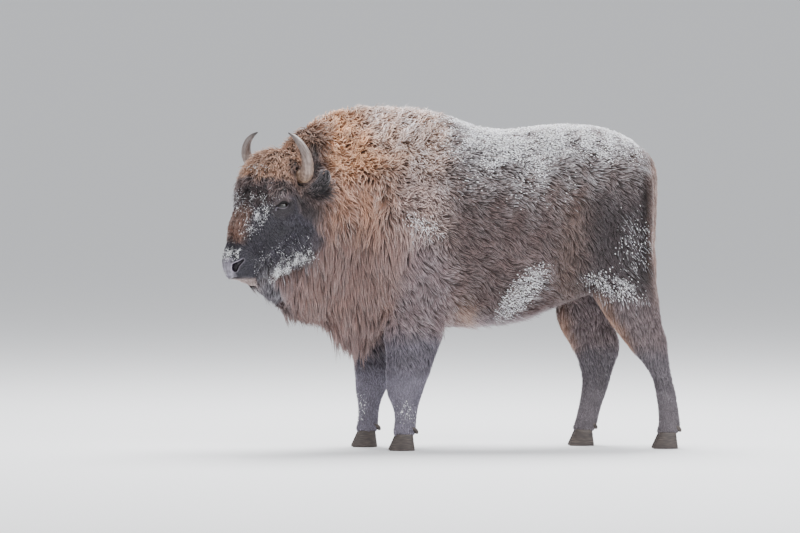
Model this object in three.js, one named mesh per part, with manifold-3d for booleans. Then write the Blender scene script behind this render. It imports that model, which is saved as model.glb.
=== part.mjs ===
// A European bison (wisent) bull in its winter coat, standing square with its head turned to its left.
// Millimetres, +Z up. The head points to -X, the animal's left side to -Y, and the hooves stand on Z = 0.
// The flesh is modelled whole from lofts, joined, and then parted with thin plane cuts.
import * as THREE from "three";
import { LoftGeometry } from "three/addons/geometries/LoftGeometry.js";
import { mergeVertices } from "three/addons/utils/BufferGeometryUtils.js";
import Module from "manifold-3d";

const wasm = await Module();
wasm.setup();

// ---------- driving dimensions ----------
const GAP = 0.5; // clearance between neighbouring pieces
const FAR = 4000; // reach of a cutting block
const LEFT = -1; // sign of Y on the animal's left
const RIGHT = 1;
const CENTRE = new THREE.Vector3(23, 30, 0); // brings the middle of the animal over the origin
const TRACK_FORE = 150; // from the mid plane to the middle of a fore foot
const TRACK_HIND = 135;
const FORE_CUT = 602; // height where the fore legs leave the trunk
const HIND_CUT_X = 450; // the hind cut rises backwards from this point under the flank
const HIND_CUT_Z = 652;
const HIND_CUT_SLOPE = 0.42;
const CORONET = 72; // height of the top of the hooves
const HEAD_AT = new THREE.Vector3(-883, -130, 1407); // the middle of the skull, level with the horns
const HEAD_YAW = 36; // degrees to the left
const HEAD_PITCH = 53; // degrees below the horizon, poll to nose
const HEAD_ROLL = 2; // degrees, left side down
const EYE_RADIUS = 24;
const EYE = { u: 198, v: 148, w: -6 }; // left eye in the head's own axes

const rad = THREE.MathUtils.degToRad;

// ---------- tools ----------
// Gives each row of numbers the names of its columns.
function table(columns, rows) {
  const names = columns.split(" ");
  return rows.map((row) => Object.fromEntries(names.map((name, i) => [name, row[i]])));
}

// Smooth values between the rows of a table: each stretch between two rows is cut in `steps`.
function smooth(rows, steps) {
  const out = [];
  const names = Object.keys(rows[0]);
  const row = (i) => rows[THREE.MathUtils.clamp(i, 0, rows.length - 1)];
  for (let i = 0; i < rows.length - 1; i++) {
    for (let k = 0; k < steps; k++) {
      const t = k / steps;
      const blend = (a, b, c, d) =>
        0.5 * (2 * b + (c - a) * t + (2 * a - 5 * b + 4 * c - d) * t * t + (3 * b - a - 3 * c + d) * t ** 3);
      out.push(Object.fromEntries(names.map((n) => [n, blend(row(i - 1)[n], row(i)[n], row(i + 1)[n], row(i + 2)[n])])));
    }
  }
  out.push(rows[rows.length - 1]);
  return out;
}

// A closed section: an oval with its own rise, drop and roundness above and below its widest line.
// dent hollows the upper side, as in the cup of an ear.
function ring(centre, side, up, { half, rise, drop = rise, round = 2, roundBelow = round, dent = 0 }, count) {
  const points = [];
  for (let j = 0; j < count; j++) {
    const angle = ((j + 0.5) / count) * 2 * Math.PI;
    const [c, s] = [Math.cos(angle), Math.sin(angle)];
    const power = 2 / (s > 0 ? round : roundBelow);
    const across = Math.sign(c) * Math.abs(c) ** power;
    const along = Math.sign(s) * Math.abs(s) ** power * (s > 0 ? rise : drop);
    const hollow = s > 0 ? dent * (1 - across * across) : 0;
    points.push(
      centre.clone().addScaledVector(side, half * across).addScaledVector(up, along - hollow),
    );
  }
  return points;
}

// Moves a section away from its neighbour.
function pushOut(section, neighbour, distance) {
  const middle = (points) => points.reduce((sum, p) => sum.add(p), new THREE.Vector3()).divideScalar(points.length);
  const away = middle(section).sub(middle(neighbour)).normalize();
  section.forEach((point) => point.addScaledVector(away, distance));
}

// A closed loft as a manifold solid, whichever way its sections run; `grow` lengthens it at both ends.
function loft(sections, grow = 0) {
  pushOut(sections[0], sections[1], grow);
  pushOut(sections[sections.length - 1], sections[sections.length - 2], grow);
  const [first, second] = sections;
  const turn = new THREE.Vector3();
  first.forEach((point, i) => turn.add(new THREE.Vector3().crossVectors(point, first[(i + 1) % first.length])));
  const forward = turn.dot(second[0].clone().sub(first[0])) > 0;
  const ordered = forward ? sections : sections.map((section) => section.slice().reverse());
  return solid(new LoftGeometry(ordered, { capStart: true, capEnd: true }));
}

function solid(geometry, matrix) {
  const bare = new THREE.BufferGeometry().setAttribute("position", geometry.getAttribute("position").clone());
  bare.setIndex(geometry.index);
  if (matrix) bare.applyMatrix4(matrix);
  const merged = mergeVertices(bare, 1e-4);
  return new wasm.Manifold(
    new wasm.Mesh({
      numProp: 3,
      vertProperties: new Float32Array(merged.attributes.position.array),
      triVerts: new Uint32Array(merged.index.array),
    }),
  );
}

// Everything on the side of a plane that its normal points away from, less half the gap.
function below(point, normal) {
  const n = normal.clone().normalize();
  const turn = new THREE.Quaternion().setFromUnitVectors(new THREE.Vector3(0, 0, 1), n);
  const middle = point.clone().addScaledVector(n, -FAR / 2 - GAP / 2);
  return solid(new THREE.BoxGeometry(FAR, FAR, FAR), new THREE.Matrix4().compose(middle, turn, new THREE.Vector3(1, 1, 1)));
}

const above = (point, normal) => below(point, normal.clone().negate());

function material(name, colour, roughness, metalness = 0) {
  return new THREE.MeshStandardMaterial({ name, color: colour, roughness, metalness });
}

const MATERIALS = {
  coat: material("coat", 0x5d4336, 0.95),
  mane: material("mane", 0x7a5640, 0.95),
  face: material("face", 0x2c2422, 0.9),
  horn: material("horn", 0x8b8580, 0.45),
  hoof: material("hoof", 0x26211f, 0.5),
  eye: material("eye", 0x120d0b, 0.08),
};

const bison = new THREE.Group();
bison.name = "bison";

function add(name, shape, finish) {
  const mesh = shape.getMesh();
  const geometry = new THREE.BufferGeometry();
  geometry.setAttribute("position", new THREE.BufferAttribute(new Float32Array(mesh.vertProperties), 3));
  geometry.setIndex(new THREE.BufferAttribute(new Uint32Array(mesh.triVerts), 1));
  geometry.computeVertexNormals();
  const made = new THREE.Mesh(geometry, finish);
  made.name = name;
  bison.add(made);
}

// ---------- the head's own axes: u from poll to nose, v to the animal's left, w out of the forehead ----------
const headTurn = new THREE.Matrix4()
  .makeRotationZ(rad(HEAD_YAW))
  .multiply(new THREE.Matrix4().makeRotationY(-rad(HEAD_PITCH)))
  .multiply(new THREE.Matrix4().makeRotationX(-rad(HEAD_ROLL)));
const headAxis = (x, y, z) => new THREE.Vector3(x, y, z).applyMatrix4(headTurn);
const U = headAxis(-1, 0, 0);
const V = headAxis(0, -1, 0);
const W = headAxis(0, 0, 1);
const onHead = (u, v, w) => HEAD_AT.clone().addScaledVector(U, u).addScaledVector(V, v).addScaledVector(W, w);

// ---------- flesh ----------
const X = new THREE.Vector3(1, 0, 0);
const Y = new THREE.Vector3(0, 1, 0);
const Z = new THREE.Vector3(0, 0, 1);

// Upright sections across the trunk, from the chest under the neck to the buttocks.
function trunk() {
  const rows = table("x top bottom half waist round roundBelow", [
    [-640, 1640, 900, 130, 1150, 1.9, 2.0],
    [-560, 1734, 700, 225, 1090, 1.8, 2.2],
    [-440, 1752, 628, 285, 1050, 1.7, 2.6],
    [-260, 1748, 612, 318, 1030, 1.65, 2.8],
    [-80, 1718, 610, 326, 1040, 1.72, 2.7],
    [90, 1652, 614, 330, 1060, 1.85, 2.4],
    [250, 1620, 622, 334, 1080, 2.05, 2.2],
    [430, 1636, 662, 322, 1110, 2.15, 2.2],
    [600, 1648, 742, 298, 1150, 2.15, 2.4],
    [750, 1632, 790, 282, 1170, 2.1, 2.8],
    [880, 1590, 820, 260, 1160, 2.1, 3.0],
    [970, 1520, 860, 215, 1150, 2.1, 2.9],
    [1022, 1410, 940, 140, 1160, 2.1, 2.6],
  ]);
  return loft(
    smooth(rows, 2).map((s) =>
      ring(new THREE.Vector3(s.x, 0, s.waist), Y, Z, { ...s, rise: s.top - s.waist, drop: s.waist - s.bottom }, 22),
    ),
  );
}

// Upright sections along the neck, each turned a little more towards the head.
function neck() {
  const rows = table("x y yaw top bottom half waist round roundBelow", [
    [-400, 0, 0, 1744, 700, 230, 1080, 1.7, 2.0],
    [-540, -6, 4, 1748, 640, 262, 1090, 1.7, 1.9],
    [-640, -26, 11, 1718, 660, 252, 1130, 1.8, 1.8],
    [-725, -58, 18, 1676, 720, 224, 1180, 1.9, 1.8],
    [-800, -96, 26, 1622, 800, 184, 1230, 1.9, 1.9],
    [-856, -126, 32, 1566, 960, 134, 1290, 1.9, 2.0],
  ]);
  return loft(
    smooth(rows, 2).map((s) => {
      const side = new THREE.Vector3(-Math.sin(rad(s.yaw)), Math.cos(rad(s.yaw)), 0);
      return ring(new THREE.Vector3(s.x, s.y, s.waist), side, Z, { ...s, rise: s.top - s.waist, drop: s.waist - s.bottom }, 18);
    }),
  );
}

// Sections square to the head, from inside the neck to the nose. The forehead carries a cap of curly hair.
function skull() {
  const rows = table("u top bottom half w round roundBelow", [
    [-96, 104, -60, 84, 0, 2.0, 2.0],
    [-40, 152, -108, 150, 0, 2.4, 2.1],
    [20, 168, -138, 176, 0, 2.6, 2.2],
    [90, 162, -160, 188, 0, 2.6, 2.2],
    [150, 146, -174, 186, -6, 2.4, 2.1],
    [205, 126, -188, 172, -14, 2.2, 2.0],
    [270, 112, -190, 146, -22, 2.1, 2.0],
    [340, 112, -178, 116, -26, 2.0, 2.0],
    [400, 110, -162, 96, -30, 2.0, 2.0],
    [450, 72, -156, 88, -38, 2.2, 2.0],
    [510, 56, -162, 88, -46, 2.4, 2.0],
    [560, 36, -174, 86, -54, 2.5, 2.1],
    [594, 12, -160, 75, -58, 2.5, 2.2],
    [618, -18, -112, 50, -60, 2.4, 2.2],
    [630, -38, -84, 26, -60, 2.2, 2.1],
  ]);
  return loft(
    smooth(rows, 2).map((s) => ring(onHead(s.u, 0, s.w), V, W, { ...s, rise: s.top - s.w, drop: s.w - s.bottom }, 20)),
  );
}

// Level sections down a leg. `line` gives the middle of the leg at each height and `girth` its size there;
// `more` in a line is fuller flesh and hair on that leg alone, and `grow` widens it for the pocket that holds it.
function leg(line, girth, side, grow = 0) {
  const rows = line.map((row, i) => ({ ...row, ...girth[i] }));
  return loft(
    smooth(rows, 2).map((s) =>
      ring(
        new THREE.Vector3(s.x, s.y * side, s.z),
        X,
        Y,
        { half: (s.depth + s.more) / 2 + grow, rise: s.width / 2 + s.more / 6 + grow, round: 2.2 },
        12,
      ),
    ),
    grow,
  );
}

const FORE_GIRTH = table("depth width", [
  [230, 100],
  [290, 160],
  [330, 196],
  [292, 190],
  [252, 170],
  [204, 146],
  [152, 126],
  [112, 104],
  [104, 99],
  [114, 112],
  [106, 110],
]);
const FORE_LINE = {
  left: table("z x y more", [
    [900, -200, 180, 0],
    [760, -190, 180, 0],
    [640, -208, 180, 0],
    [541, -214, 172, 0],
    [460, -226, 164, 8],
    [360, -243, 156, 12],
    [280, -253, 152, 30],
    [220, -247, 150, 20],
    [150, -248, 150, 10],
    [100, -253, 150, 4],
    [60, -264, 150, 0],
  ]),
  right: table("z x y more", [
    [900, -200, 180, 0],
    [760, -220, 180, 0],
    [640, -290, 180, 0],
    [541, -330, 172, 0],
    [460, -363, 164, 0],
    [360, -374, 156, 0],
    [280, -396, 152, 4],
    [220, -402, 150, 6],
    [150, -407, 150, 4],
    [100, -412, 150, 0],
    [60, -424, 150, 0],
  ]),
};
const HIND_GIRTH = table("depth width", [
  [200, 110],
  [310, 200],
  [370, 226],
  [330, 222],
  [276, 190],
  [244, 158],
  [178, 124],
  [124, 106],
  [103, 96],
  [105, 97],
  [118, 110],
  [108, 108],
]);
const HIND_LINE = {
  left: table("z x y more", [
    [1180, 850, 120, 0],
    [1010, 850, 150, 0],
    [860, 850, 158, 0],
    [745, 884, 160, 0],
    [640, 925, 158, 0],
    [560, 968, 152, 0],
    [480, 1006, 146, 0],
    [403, 1045, 142, 2],
    [310, 1075, 138, 4],
    [180, 1096, 136, 4],
    [108, 1099, 135, 2],
    [60, 1082, 135, 0],
  ]),
  right: table("z x y more", [
    [1180, 830, 120, 0],
    [1010, 800, 150, 0],
    [860, 772, 158, 0],
    [745, 718, 160, 6],
    [640, 700, 158, 22],
    [560, 735, 152, 46],
    [480, 765, 146, 62],
    [403, 762, 142, 64],
    [310, 755, 138, 40],
    [180, 722, 136, 14],
    [108, 704, 135, 4],
    [60, 684, 135, 0],
  ]),
};

const LEGS = {
  fore_leg_left: [FORE_LINE.left, FORE_GIRTH, LEFT],
  fore_leg_right: [FORE_LINE.right, FORE_GIRTH, RIGHT],
  hind_leg_left: [HIND_LINE.left, HIND_GIRTH, LEFT],
  hind_leg_right: [HIND_LINE.right, HIND_GIRTH, RIGHT],
};

// ---------- horns, ears, eyes ----------
// A round horn that goes out, up and in; `grow` widens it for the pocket that holds it.
function horn(side, grow = 0) {
  const rows = table("u v w radius", [
    [4, 118, -26, 40],
    [-4, 176, -18, 41],
    [-28, 224, 28, 36],
    [-62, 238, 78, 30],
    [-98, 210, 122, 23],
    [-124, 166, 146, 14],
    [-138, 122, 158, 4],
  ]);
  const path = smooth(rows, 2);
  return loft(
    path.map((s, i) => {
      const at = (k) => onHead(path[k].u, path[k].v * -side, path[k].w);
      const tangent = at(Math.min(i + 1, path.length - 1)).sub(at(Math.max(i - 1, 0))).normalize();
      const across = new THREE.Vector3().crossVectors(U, tangent).normalize();
      const up = new THREE.Vector3().crossVectors(tangent, across);
      return ring(at(i), across, up, { half: s.radius + grow, rise: s.radius + grow }, 10);
    }),
    grow,
  );
}

// A cupped ear that stands out sideways and a little up, its hollow facing forward.
function ear(side, grow = 0) {
  const rows = table("out half thick dent", [
    [0, 34, 26, 0],
    [30, 48, 27, 8],
    [60, 66, 26, 18],
    [95, 77, 24, 22],
    [128, 74, 20, 20],
    [155, 56, 15, 12],
    [172, 34, 10, 6],
    [180, 12, 5, 2],
  ]);
  const root = onHead(44, 136 * -side, -90);
  const outward = V.clone().multiplyScalar(-side * 110).addScaledVector(U, -62).addScaledVector(W, 8).normalize();
  const facing = W.clone().addScaledVector(V, -side * 0.25).addScaledVector(U, 0.2);
  const broad = new THREE.Vector3().crossVectors(outward, facing).normalize();
  const front = new THREE.Vector3().crossVectors(broad, outward);
  return loft(
    smooth(rows, 1).map((s) =>
      ring(root.clone().addScaledVector(outward, s.out), broad, front,
        { half: s.half + grow, rise: s.thick + grow, dent: s.dent }, 12),
    ),
    grow,
  );
}

function eye(side, grow = 0) {
  const ball = new THREE.SphereGeometry(EYE_RADIUS + grow, 12, 8);
  const middle = onHead(EYE.u, EYE.v * -side, EYE.w);
  return solid(ball, new THREE.Matrix4().makeTranslation(middle));
}

// ---------- tail, beard and throat mane ----------
function tail(grow = 0) {
  const rows = table("x z half depth", [
    [930, 1512, 38, 30],
    [998, 1474, 42, 30],
    [1030, 1400, 40, 27],
    [1036, 1280, 34, 24],
    [1030, 1150, 30, 24],
    [1022, 1030, 34, 28],
    [1022, 930, 42, 34],
    [1030, 850, 36, 30],
    [1038, 780, 8, 8],
  ]);
  const path = rows;
  return loft(
    path.map((s, i) => {
      const at = (k) => new THREE.Vector3(path[k].x, 0, path[k].z);
      const tangent = at(Math.min(i + 1, path.length - 1)).sub(at(Math.max(i - 1, 0))).normalize();
      const out = new THREE.Vector3().crossVectors(Y, tangent).normalize();
      return ring(at(i), Y, out, { half: s.half + grow, rise: s.depth + grow }, 10);
    }),
    grow,
  );
}

// Upright sections that follow a path seen from above, as for hair that hangs from the jaw and the throat.
function hanging(rows, count) {
  return loft(
    rows.map((s) => {
      const side = new THREE.Vector3(-Math.sin(rad(s.yaw)), Math.cos(rad(s.yaw)), 0);
      const middle = new THREE.Vector3(s.x, s.y, (s.top + s.bottom) / 2);
      return ring(middle, side, Z, { half: s.half, rise: (s.top - s.bottom) / 2, round: 2.1, roundBelow: 1.6 }, count);
    }),
  );
}

// The beard follows the head: `ahead` is the distance in front of the middle of the skull.
function beard() {
  const rows = table("ahead top bottom half", [
    [-120, 1190, 640, 96],
    [-60, 1170, 648, 104],
    [0, 1130, 652, 100],
    [50, 1080, 672, 90],
    [100, 1040, 724, 76],
    [150, 990, 784, 62],
    [196, 930, 842, 36],
  ]);
  const yaw = rad(HEAD_YAW);
  return hanging(
    rows.map((s) => ({
      ...s,
      x: HEAD_AT.x - s.ahead * Math.cos(yaw),
      y: HEAD_AT.y - s.ahead * Math.sin(yaw),
      yaw: HEAD_YAW,
    })),
    14,
  );
}

// The mane hangs below the throat and the brisket.
function throatMane() {
  const rows = table("x y yaw top bottom half", [
    [-330, 0, 0, 700, 560, 60],
    [-420, 0, 0, 760, 500, 130],
    [-510, -4, 3, 800, 466, 150],
    [-600, -18, 9, 860, 536, 150],
    [-690, -46, 18, 900, 592, 136],
    [-770, -88, 27, 960, 596, 116],
    [-830, -118, 33, 1000, 640, 90],
  ]);
  return hanging(rows, 14);
}

// ---------- hooves ----------
// One claw of a cloven hoof: level D-shaped sections, flat on the ground, its toe forward.
function claw({ x, y, side }, inner) {
  const rows = table("z toe heel half", [
    [0, 68, 58, 27],
    [6, 70, 58, 28],
    [38, 56, 54, 26],
    [CORONET - GAP, 40, 50, 24],
  ]);
  const middle = y * side + (inner ? -side : side) * 30;
  return loft(
    rows.map((s) =>
      ring(new THREE.Vector3(x + (s.heel - s.toe) / 2, middle, s.z), X, Y,
        { half: (s.toe + s.heel) / 2, rise: s.half, round: 2.3 }, 12),
    ),
  );
}

// A small claw that hangs behind the fetlock.
function dewclaw({ x, y, side }, inner, grow = 0) {
  const rows = table("back z half", [
    [34, 120, 16],
    [52, 112, 16],
    [64, 96, 13],
    [68, 84, 5],
  ]);
  const middle = y * side + (inner ? -side : side) * 26;
  return loft(
    rows.map((s) => ring(new THREE.Vector3(x + s.back, middle, s.z), X, Y, { half: s.half + grow, rise: s.half + grow }, 6)),
    grow,
  );
}

const FEET = {
  fore_leg_left: { x: -262, y: TRACK_FORE, side: LEFT },
  fore_leg_right: { x: -422, y: TRACK_FORE, side: RIGHT },
  hind_leg_left: { x: 1082, y: TRACK_HIND, side: LEFT },
  hind_leg_right: { x: 686, y: TRACK_HIND, side: RIGHT },
};

// ---------- parting ----------
const join = (shapes) => shapes.reduce((whole, shape) => whole.add(shape));
const cutAway = (whole, shapes) => shapes.reduce((left, shape) => left.subtract(shape), whole);

const facing = new THREE.Vector3(-Math.cos(rad(HEAD_YAW)), -Math.sin(rad(HEAD_YAW)), 0);
const headPoint = HEAD_AT.clone().addScaledVector(facing, -100);
const headNormal = facing.clone().addScaledVector(Z, 0.1);
const shoulderPoint = new THREE.Vector3(-560, 0, 1000);
const shoulderNormal = new THREE.Vector3(-1, 0, 0.33);
const forePoint = new THREE.Vector3(0, 0, FORE_CUT);
const hindPoint = new THREE.Vector3(HIND_CUT_X, 0, HIND_CUT_Z);
const hindNormal = new THREE.Vector3(-HIND_CUT_SLOPE, 0, 1);
const coronet = new THREE.Vector3(0, 0, CORONET);

const legSpace = (name) => (name.startsWith("fore") ? [forePoint, Z] : [hindPoint, hindNormal]);
const lowerLeg = (name, grow, lift) => {
  const [point, normal] = legSpace(name);
  return leg(...LEGS[name], grow).intersect(below(point.clone().addScaledVector(Z, lift), normal));
};

const sides = [LEFT, RIGHT];
const features = (grow) => sides.flatMap((side) => [horn(side, grow), ear(side, grow), eye(side, grow)]);
const whole = join([trunk(), neck(), skull(), beard(), throatMane(), ...Object.values(LEGS).map((limb) => leg(...limb))]);
const pockets = [...features(GAP), tail(GAP), ...Object.keys(LEGS).map((name) => lowerLeg(name, GAP, GAP))];
const body = cutAway(whole, pockets);

const headPart = body.intersect(above(headPoint, headNormal));
const rest = body.intersect(below(headPoint, headNormal));
const neckPart = rest.intersect(above(shoulderPoint, shoulderNormal));
const trunkPart = rest.intersect(below(shoulderPoint, shoulderNormal));

add("head", headPart, MATERIALS.face);
add("neck", neckPart, MATERIALS.mane);
add("trunk", trunkPart, MATERIALS.coat);
add("tail", tail(), MATERIALS.coat);
for (const [name, foot] of Object.entries(FEET)) {
  const limb = lowerLeg(name, 0, 0).intersect(above(coronet, Z));
  add(name, cutAway(limb, [true, false].map((inner) => dewclaw(foot, inner, GAP))), MATERIALS.coat);
  for (const inner of [true, false]) {
    const label = `${name.replace("_leg", "")}_${inner ? "inner" : "outer"}`;
    add(`hoof_${label}`, claw(foot, inner), MATERIALS.hoof);
    add(`dewclaw_${label}`, dewclaw(foot, inner), MATERIALS.hoof);
  }
}
for (const side of sides) {
  const which = side === LEFT ? "left" : "right";
  add(`ear_${which}`, ear(side).subtract(horn(side, GAP)), MATERIALS.coat);
  add(`horn_${which}`, horn(side), MATERIALS.horn);
  add(`eye_${which}`, eye(side), MATERIALS.eye);
}
bison.position.copy(CENTRE);

export default bison;
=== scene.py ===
import math

import bmesh
import bpy
import numpy as np
from mathutils import Matrix, Vector
from mathutils.bvhtree import BVHTree
from mathutils.kdtree import KDTree


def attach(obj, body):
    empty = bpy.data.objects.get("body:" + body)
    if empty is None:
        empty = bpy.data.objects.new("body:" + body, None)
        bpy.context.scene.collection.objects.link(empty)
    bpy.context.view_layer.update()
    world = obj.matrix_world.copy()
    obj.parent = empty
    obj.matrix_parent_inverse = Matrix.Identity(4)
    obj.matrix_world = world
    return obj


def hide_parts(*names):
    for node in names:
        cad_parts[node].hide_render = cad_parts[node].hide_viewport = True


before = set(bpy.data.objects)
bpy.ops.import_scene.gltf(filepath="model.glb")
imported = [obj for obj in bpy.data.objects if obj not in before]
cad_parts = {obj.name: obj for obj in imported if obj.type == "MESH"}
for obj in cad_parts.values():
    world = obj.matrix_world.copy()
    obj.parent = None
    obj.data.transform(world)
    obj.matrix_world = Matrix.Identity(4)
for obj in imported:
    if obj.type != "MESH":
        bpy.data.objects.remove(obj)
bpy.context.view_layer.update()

RNG = np.random.default_rng(41)
MM = 0.001
SIDES = ((1, "left"), (-1, "right"))

# ---------------------------------------------------------------- axes, in metres
# CENTRE moves the builder's drawing, whose origin is under the belly, to the middle of the CAD's box.
CENTRE = np.array([0.023, 0.030, 0.0])
HEAD_AT = np.array([-0.883, -0.130, 1.407]) + CENTRE
HEAD_TURNS = ((36, "Z"), (-53, "Y"), (-2, "X"))
TURN = Matrix.Identity(3)
for degrees, axis in HEAD_TURNS:
    TURN = TURN @ Matrix.Rotation(math.radians(degrees), 3, axis)
TURN = np.array(TURN)
U, V, W = -TURN[:, 0], -TURN[:, 1], TURN[:, 2]
DOWN = np.array([0.0, 0.0, -1.0])


def on_head(u, v, w):
    """A place on the head, in millimetres from the poll: u to the nose, v to the animal's left, w out of the brow."""
    return HEAD_AT + MM * (u * U + v * V + w * W)


def from_head(p):
    """Places from rows of u, v, w."""
    return on_head(p[:, :1], p[:, 1:2], p[:, 2:3])


def head_local(points):
    """Points as u, v, w in millimetres."""
    return (points - HEAD_AT) @ np.stack([U, V, W], 1) / MM


# ---------------------------------------------------------------- camera, floor and light
CAMERA_YAW, CAMERA_PITCH = math.radians(6), math.radians(3)
CAMERA_AWAY, FRAME_WIDTH, SENSOR = 60.0, 4.061, 36.0
FRAME_RIGHT, FRAME_UP = -0.2589, 0.9213


def camera():
    """The photo's camera: far off, with a long lens, the middle of its frame beside and above the animal's place."""
    yaw, pitch = CAMERA_YAW, CAMERA_PITCH
    right = np.array([math.cos(yaw), -math.sin(yaw), 0.0])
    look = np.array([math.sin(yaw) * math.cos(pitch), math.cos(yaw) * math.cos(pitch), -math.sin(pitch)])
    up = np.cross(right, look)
    data = bpy.data.cameras.new("camera")
    data.sensor_width = SENSOR
    data.lens = SENSOR * CAMERA_AWAY / FRAME_WIDTH
    data.clip_end = 1000.0
    cam = bpy.data.objects.new("camera", data)
    place = CENTRE + FRAME_RIGHT * right + FRAME_UP * up - CAMERA_AWAY * look
    matrix = np.eye(4)
    matrix[:3] = np.stack([right, up, -look, place], 1)
    cam.matrix_world = Matrix(matrix.tolist())
    bpy.context.scene.collection.objects.link(cam)
    bpy.context.scene.camera = cam


LIGHTS = (  # name, place, target, size, power, colour
    ("key", (-4.5, -6.0, 6.5), (0, 0, 0.9), (5.0, 5.0), 380, (1.0, 0.98, 0.96)),
    ("window", (4.2, -6.0, 4.6), (-0.4, 0, 0.9), (6.0, 4.0), 540, (0.98, 0.99, 1.0)),
    ("top", (0.5, 2.0, 6.5), (0, 0, 1.0), (5.0, 4.0), 1250, (1.0, 1.0, 1.0)),
)
SKY, SKY_STRENGTH = (0.97, 0.98, 1.0, 1), 0.80
FLOOR_SIZE = 600


def studio():
    """A pale floor under a pale sky, and three large soft lamps."""
    world = bpy.data.worlds.new("studio")
    bpy.context.scene.world = world
    world.use_nodes = True
    back = world.node_tree.nodes["Background"]
    back.inputs["Color"].default_value = SKY
    back.inputs["Strength"].default_value = SKY_STRENGTH
    for name, place, target, size, power, colour in LIGHTS:
        data = bpy.data.lights.new(name, "AREA")
        data.shape = "RECTANGLE"
        data.size, data.size_y = size
        data.energy, data.color = power, colour
        lamp = bpy.data.objects.new(name, data)
        lamp.location = place
        lamp.rotation_euler = (Vector(target) - Vector(place)).to_track_quat("-Z", "Y").to_euler()
        bpy.context.scene.collection.objects.link(lamp)
    bpy.ops.mesh.primitive_plane_add(size=FLOOR_SIZE, location=(0, 0, 0))
    floor = bpy.context.object
    floor.name = "floor"
    floor.data.materials.append(Matter("floor", (0.82, 0.83, 0.85), 0.9).data)


# ---------------------------------------------------------------- small helpers
def linear(*srgb):
    """A colour given as 0 to 255 sRGB, in linear values."""
    c = np.array(srgb, float) / 255
    return np.where(c <= 0.04045, c / 12.92, ((c + 0.055) / 1.055) ** 2.4)


def ramp(x, a, b):
    """0 at a and 1 at b, smooth between."""
    t = np.clip((x - a) / (b - a), 0, 1)
    return t * t * (3 - 2 * t)


def blob(points, middle, radii):
    """1 at the middle, falling smoothly to 0 at the radii."""
    d = np.sqrt((((points - np.array(middle)) / np.array(radii)) ** 2).sum(1))
    return 1 - ramp(d, 0.0, 1.0)


def unit(a):
    return a / np.maximum(np.linalg.norm(a, axis=-1, keepdims=True), 1e-9)


def mix(a, b, t):
    t = np.asarray(t)
    if np.ndim(t) and np.ndim(a) > np.ndim(t):
        t = t[..., None]
    return a * (1 - t) + b * t


def waves(points, scale, seed, count=7):
    """Smooth noise of about -1 to 1 whose features are about `scale` metres across."""
    rng = np.random.default_rng(seed)
    total = np.zeros(len(points))
    for _ in range(count):
        k = unit(rng.normal(size=3)) * rng.uniform(0.7, 1.4) * 2 * math.pi / (scale * 2)
        total += np.sin(points @ k + rng.uniform(0, 2 * math.pi))
    return total / math.sqrt(count)


def smooth_rows(rows, steps):
    """Rows of numbers joined by a Catmull-Rom curve, with `steps` rows for each given one."""
    rows = np.array(rows, float)
    out = []
    for i in range(len(rows) - 1):
        a, b, c, d = rows[max(i - 1, 0)], rows[i], rows[i + 1], rows[min(i + 2, len(rows) - 1)]
        for k in range(steps):
            t = k / steps
            out.append(0.5 * (2 * b + (c - a) * t + (2 * a - 5 * b + 4 * c - d) * t * t
                              + (3 * b - a - 3 * c + d) * t ** 3))
    out.append(rows[-1])
    return np.array(out)


def read(data, key, kind=np.float32, width=1):
    """One property of all elements as an array, a row for each where it has more than one number."""
    values = np.empty(len(data) * width, kind)
    data.foreach_get(key, values)
    return values.reshape(-1, width) if width > 1 else values


def places(me):
    return read(me.vertices, "co", width=3).astype(float)


def move(me, co):
    me.vertices.foreach_set("co", co.astype(np.float32).ravel())
    me.update()


def smoothed(me):
    me.polygons.foreach_set("use_smooth", np.ones(len(me.polygons), bool))


def make_mesh(name, verts, corners, sizes):
    """A mesh object from arrays: vertices, the corners of all faces in a row, and each face's number of corners."""
    me = bpy.data.meshes.new(name)
    me.vertices.add(len(verts))
    me.vertices.foreach_set("co", np.ascontiguousarray(verts, np.float32).ravel())
    me.loops.add(len(corners))
    me.loops.foreach_set("vertex_index", np.ascontiguousarray(corners, np.int32))
    me.polygons.add(len(sizes))
    starts = np.concatenate([[0], np.cumsum(sizes)[:-1]]).astype(np.int32)
    me.polygons.foreach_set("loop_start", starts)
    me.update(calc_edges=True)
    smoothed(me)
    obj = bpy.data.objects.new(name, me)
    bpy.context.scene.collection.objects.link(obj)
    return obj


def colour_layer(me, name, rgba):
    layer = me.color_attributes.new(name, "FLOAT_COLOR", "POINT")
    layer.data.foreach_set("color", np.ascontiguousarray(rgba, np.float32).ravel())


def value_layer(me, name, values):
    layer = me.attributes.new(name, "FLOAT", "POINT")
    layer.data.foreach_set("value", np.ascontiguousarray(values, np.float32))


def finish_piece(obj, slot_name, matter, *nodes):
    obj.data.materials.append(matter.data)
    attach(obj, "root")
    if nodes:
        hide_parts(*nodes)


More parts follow.
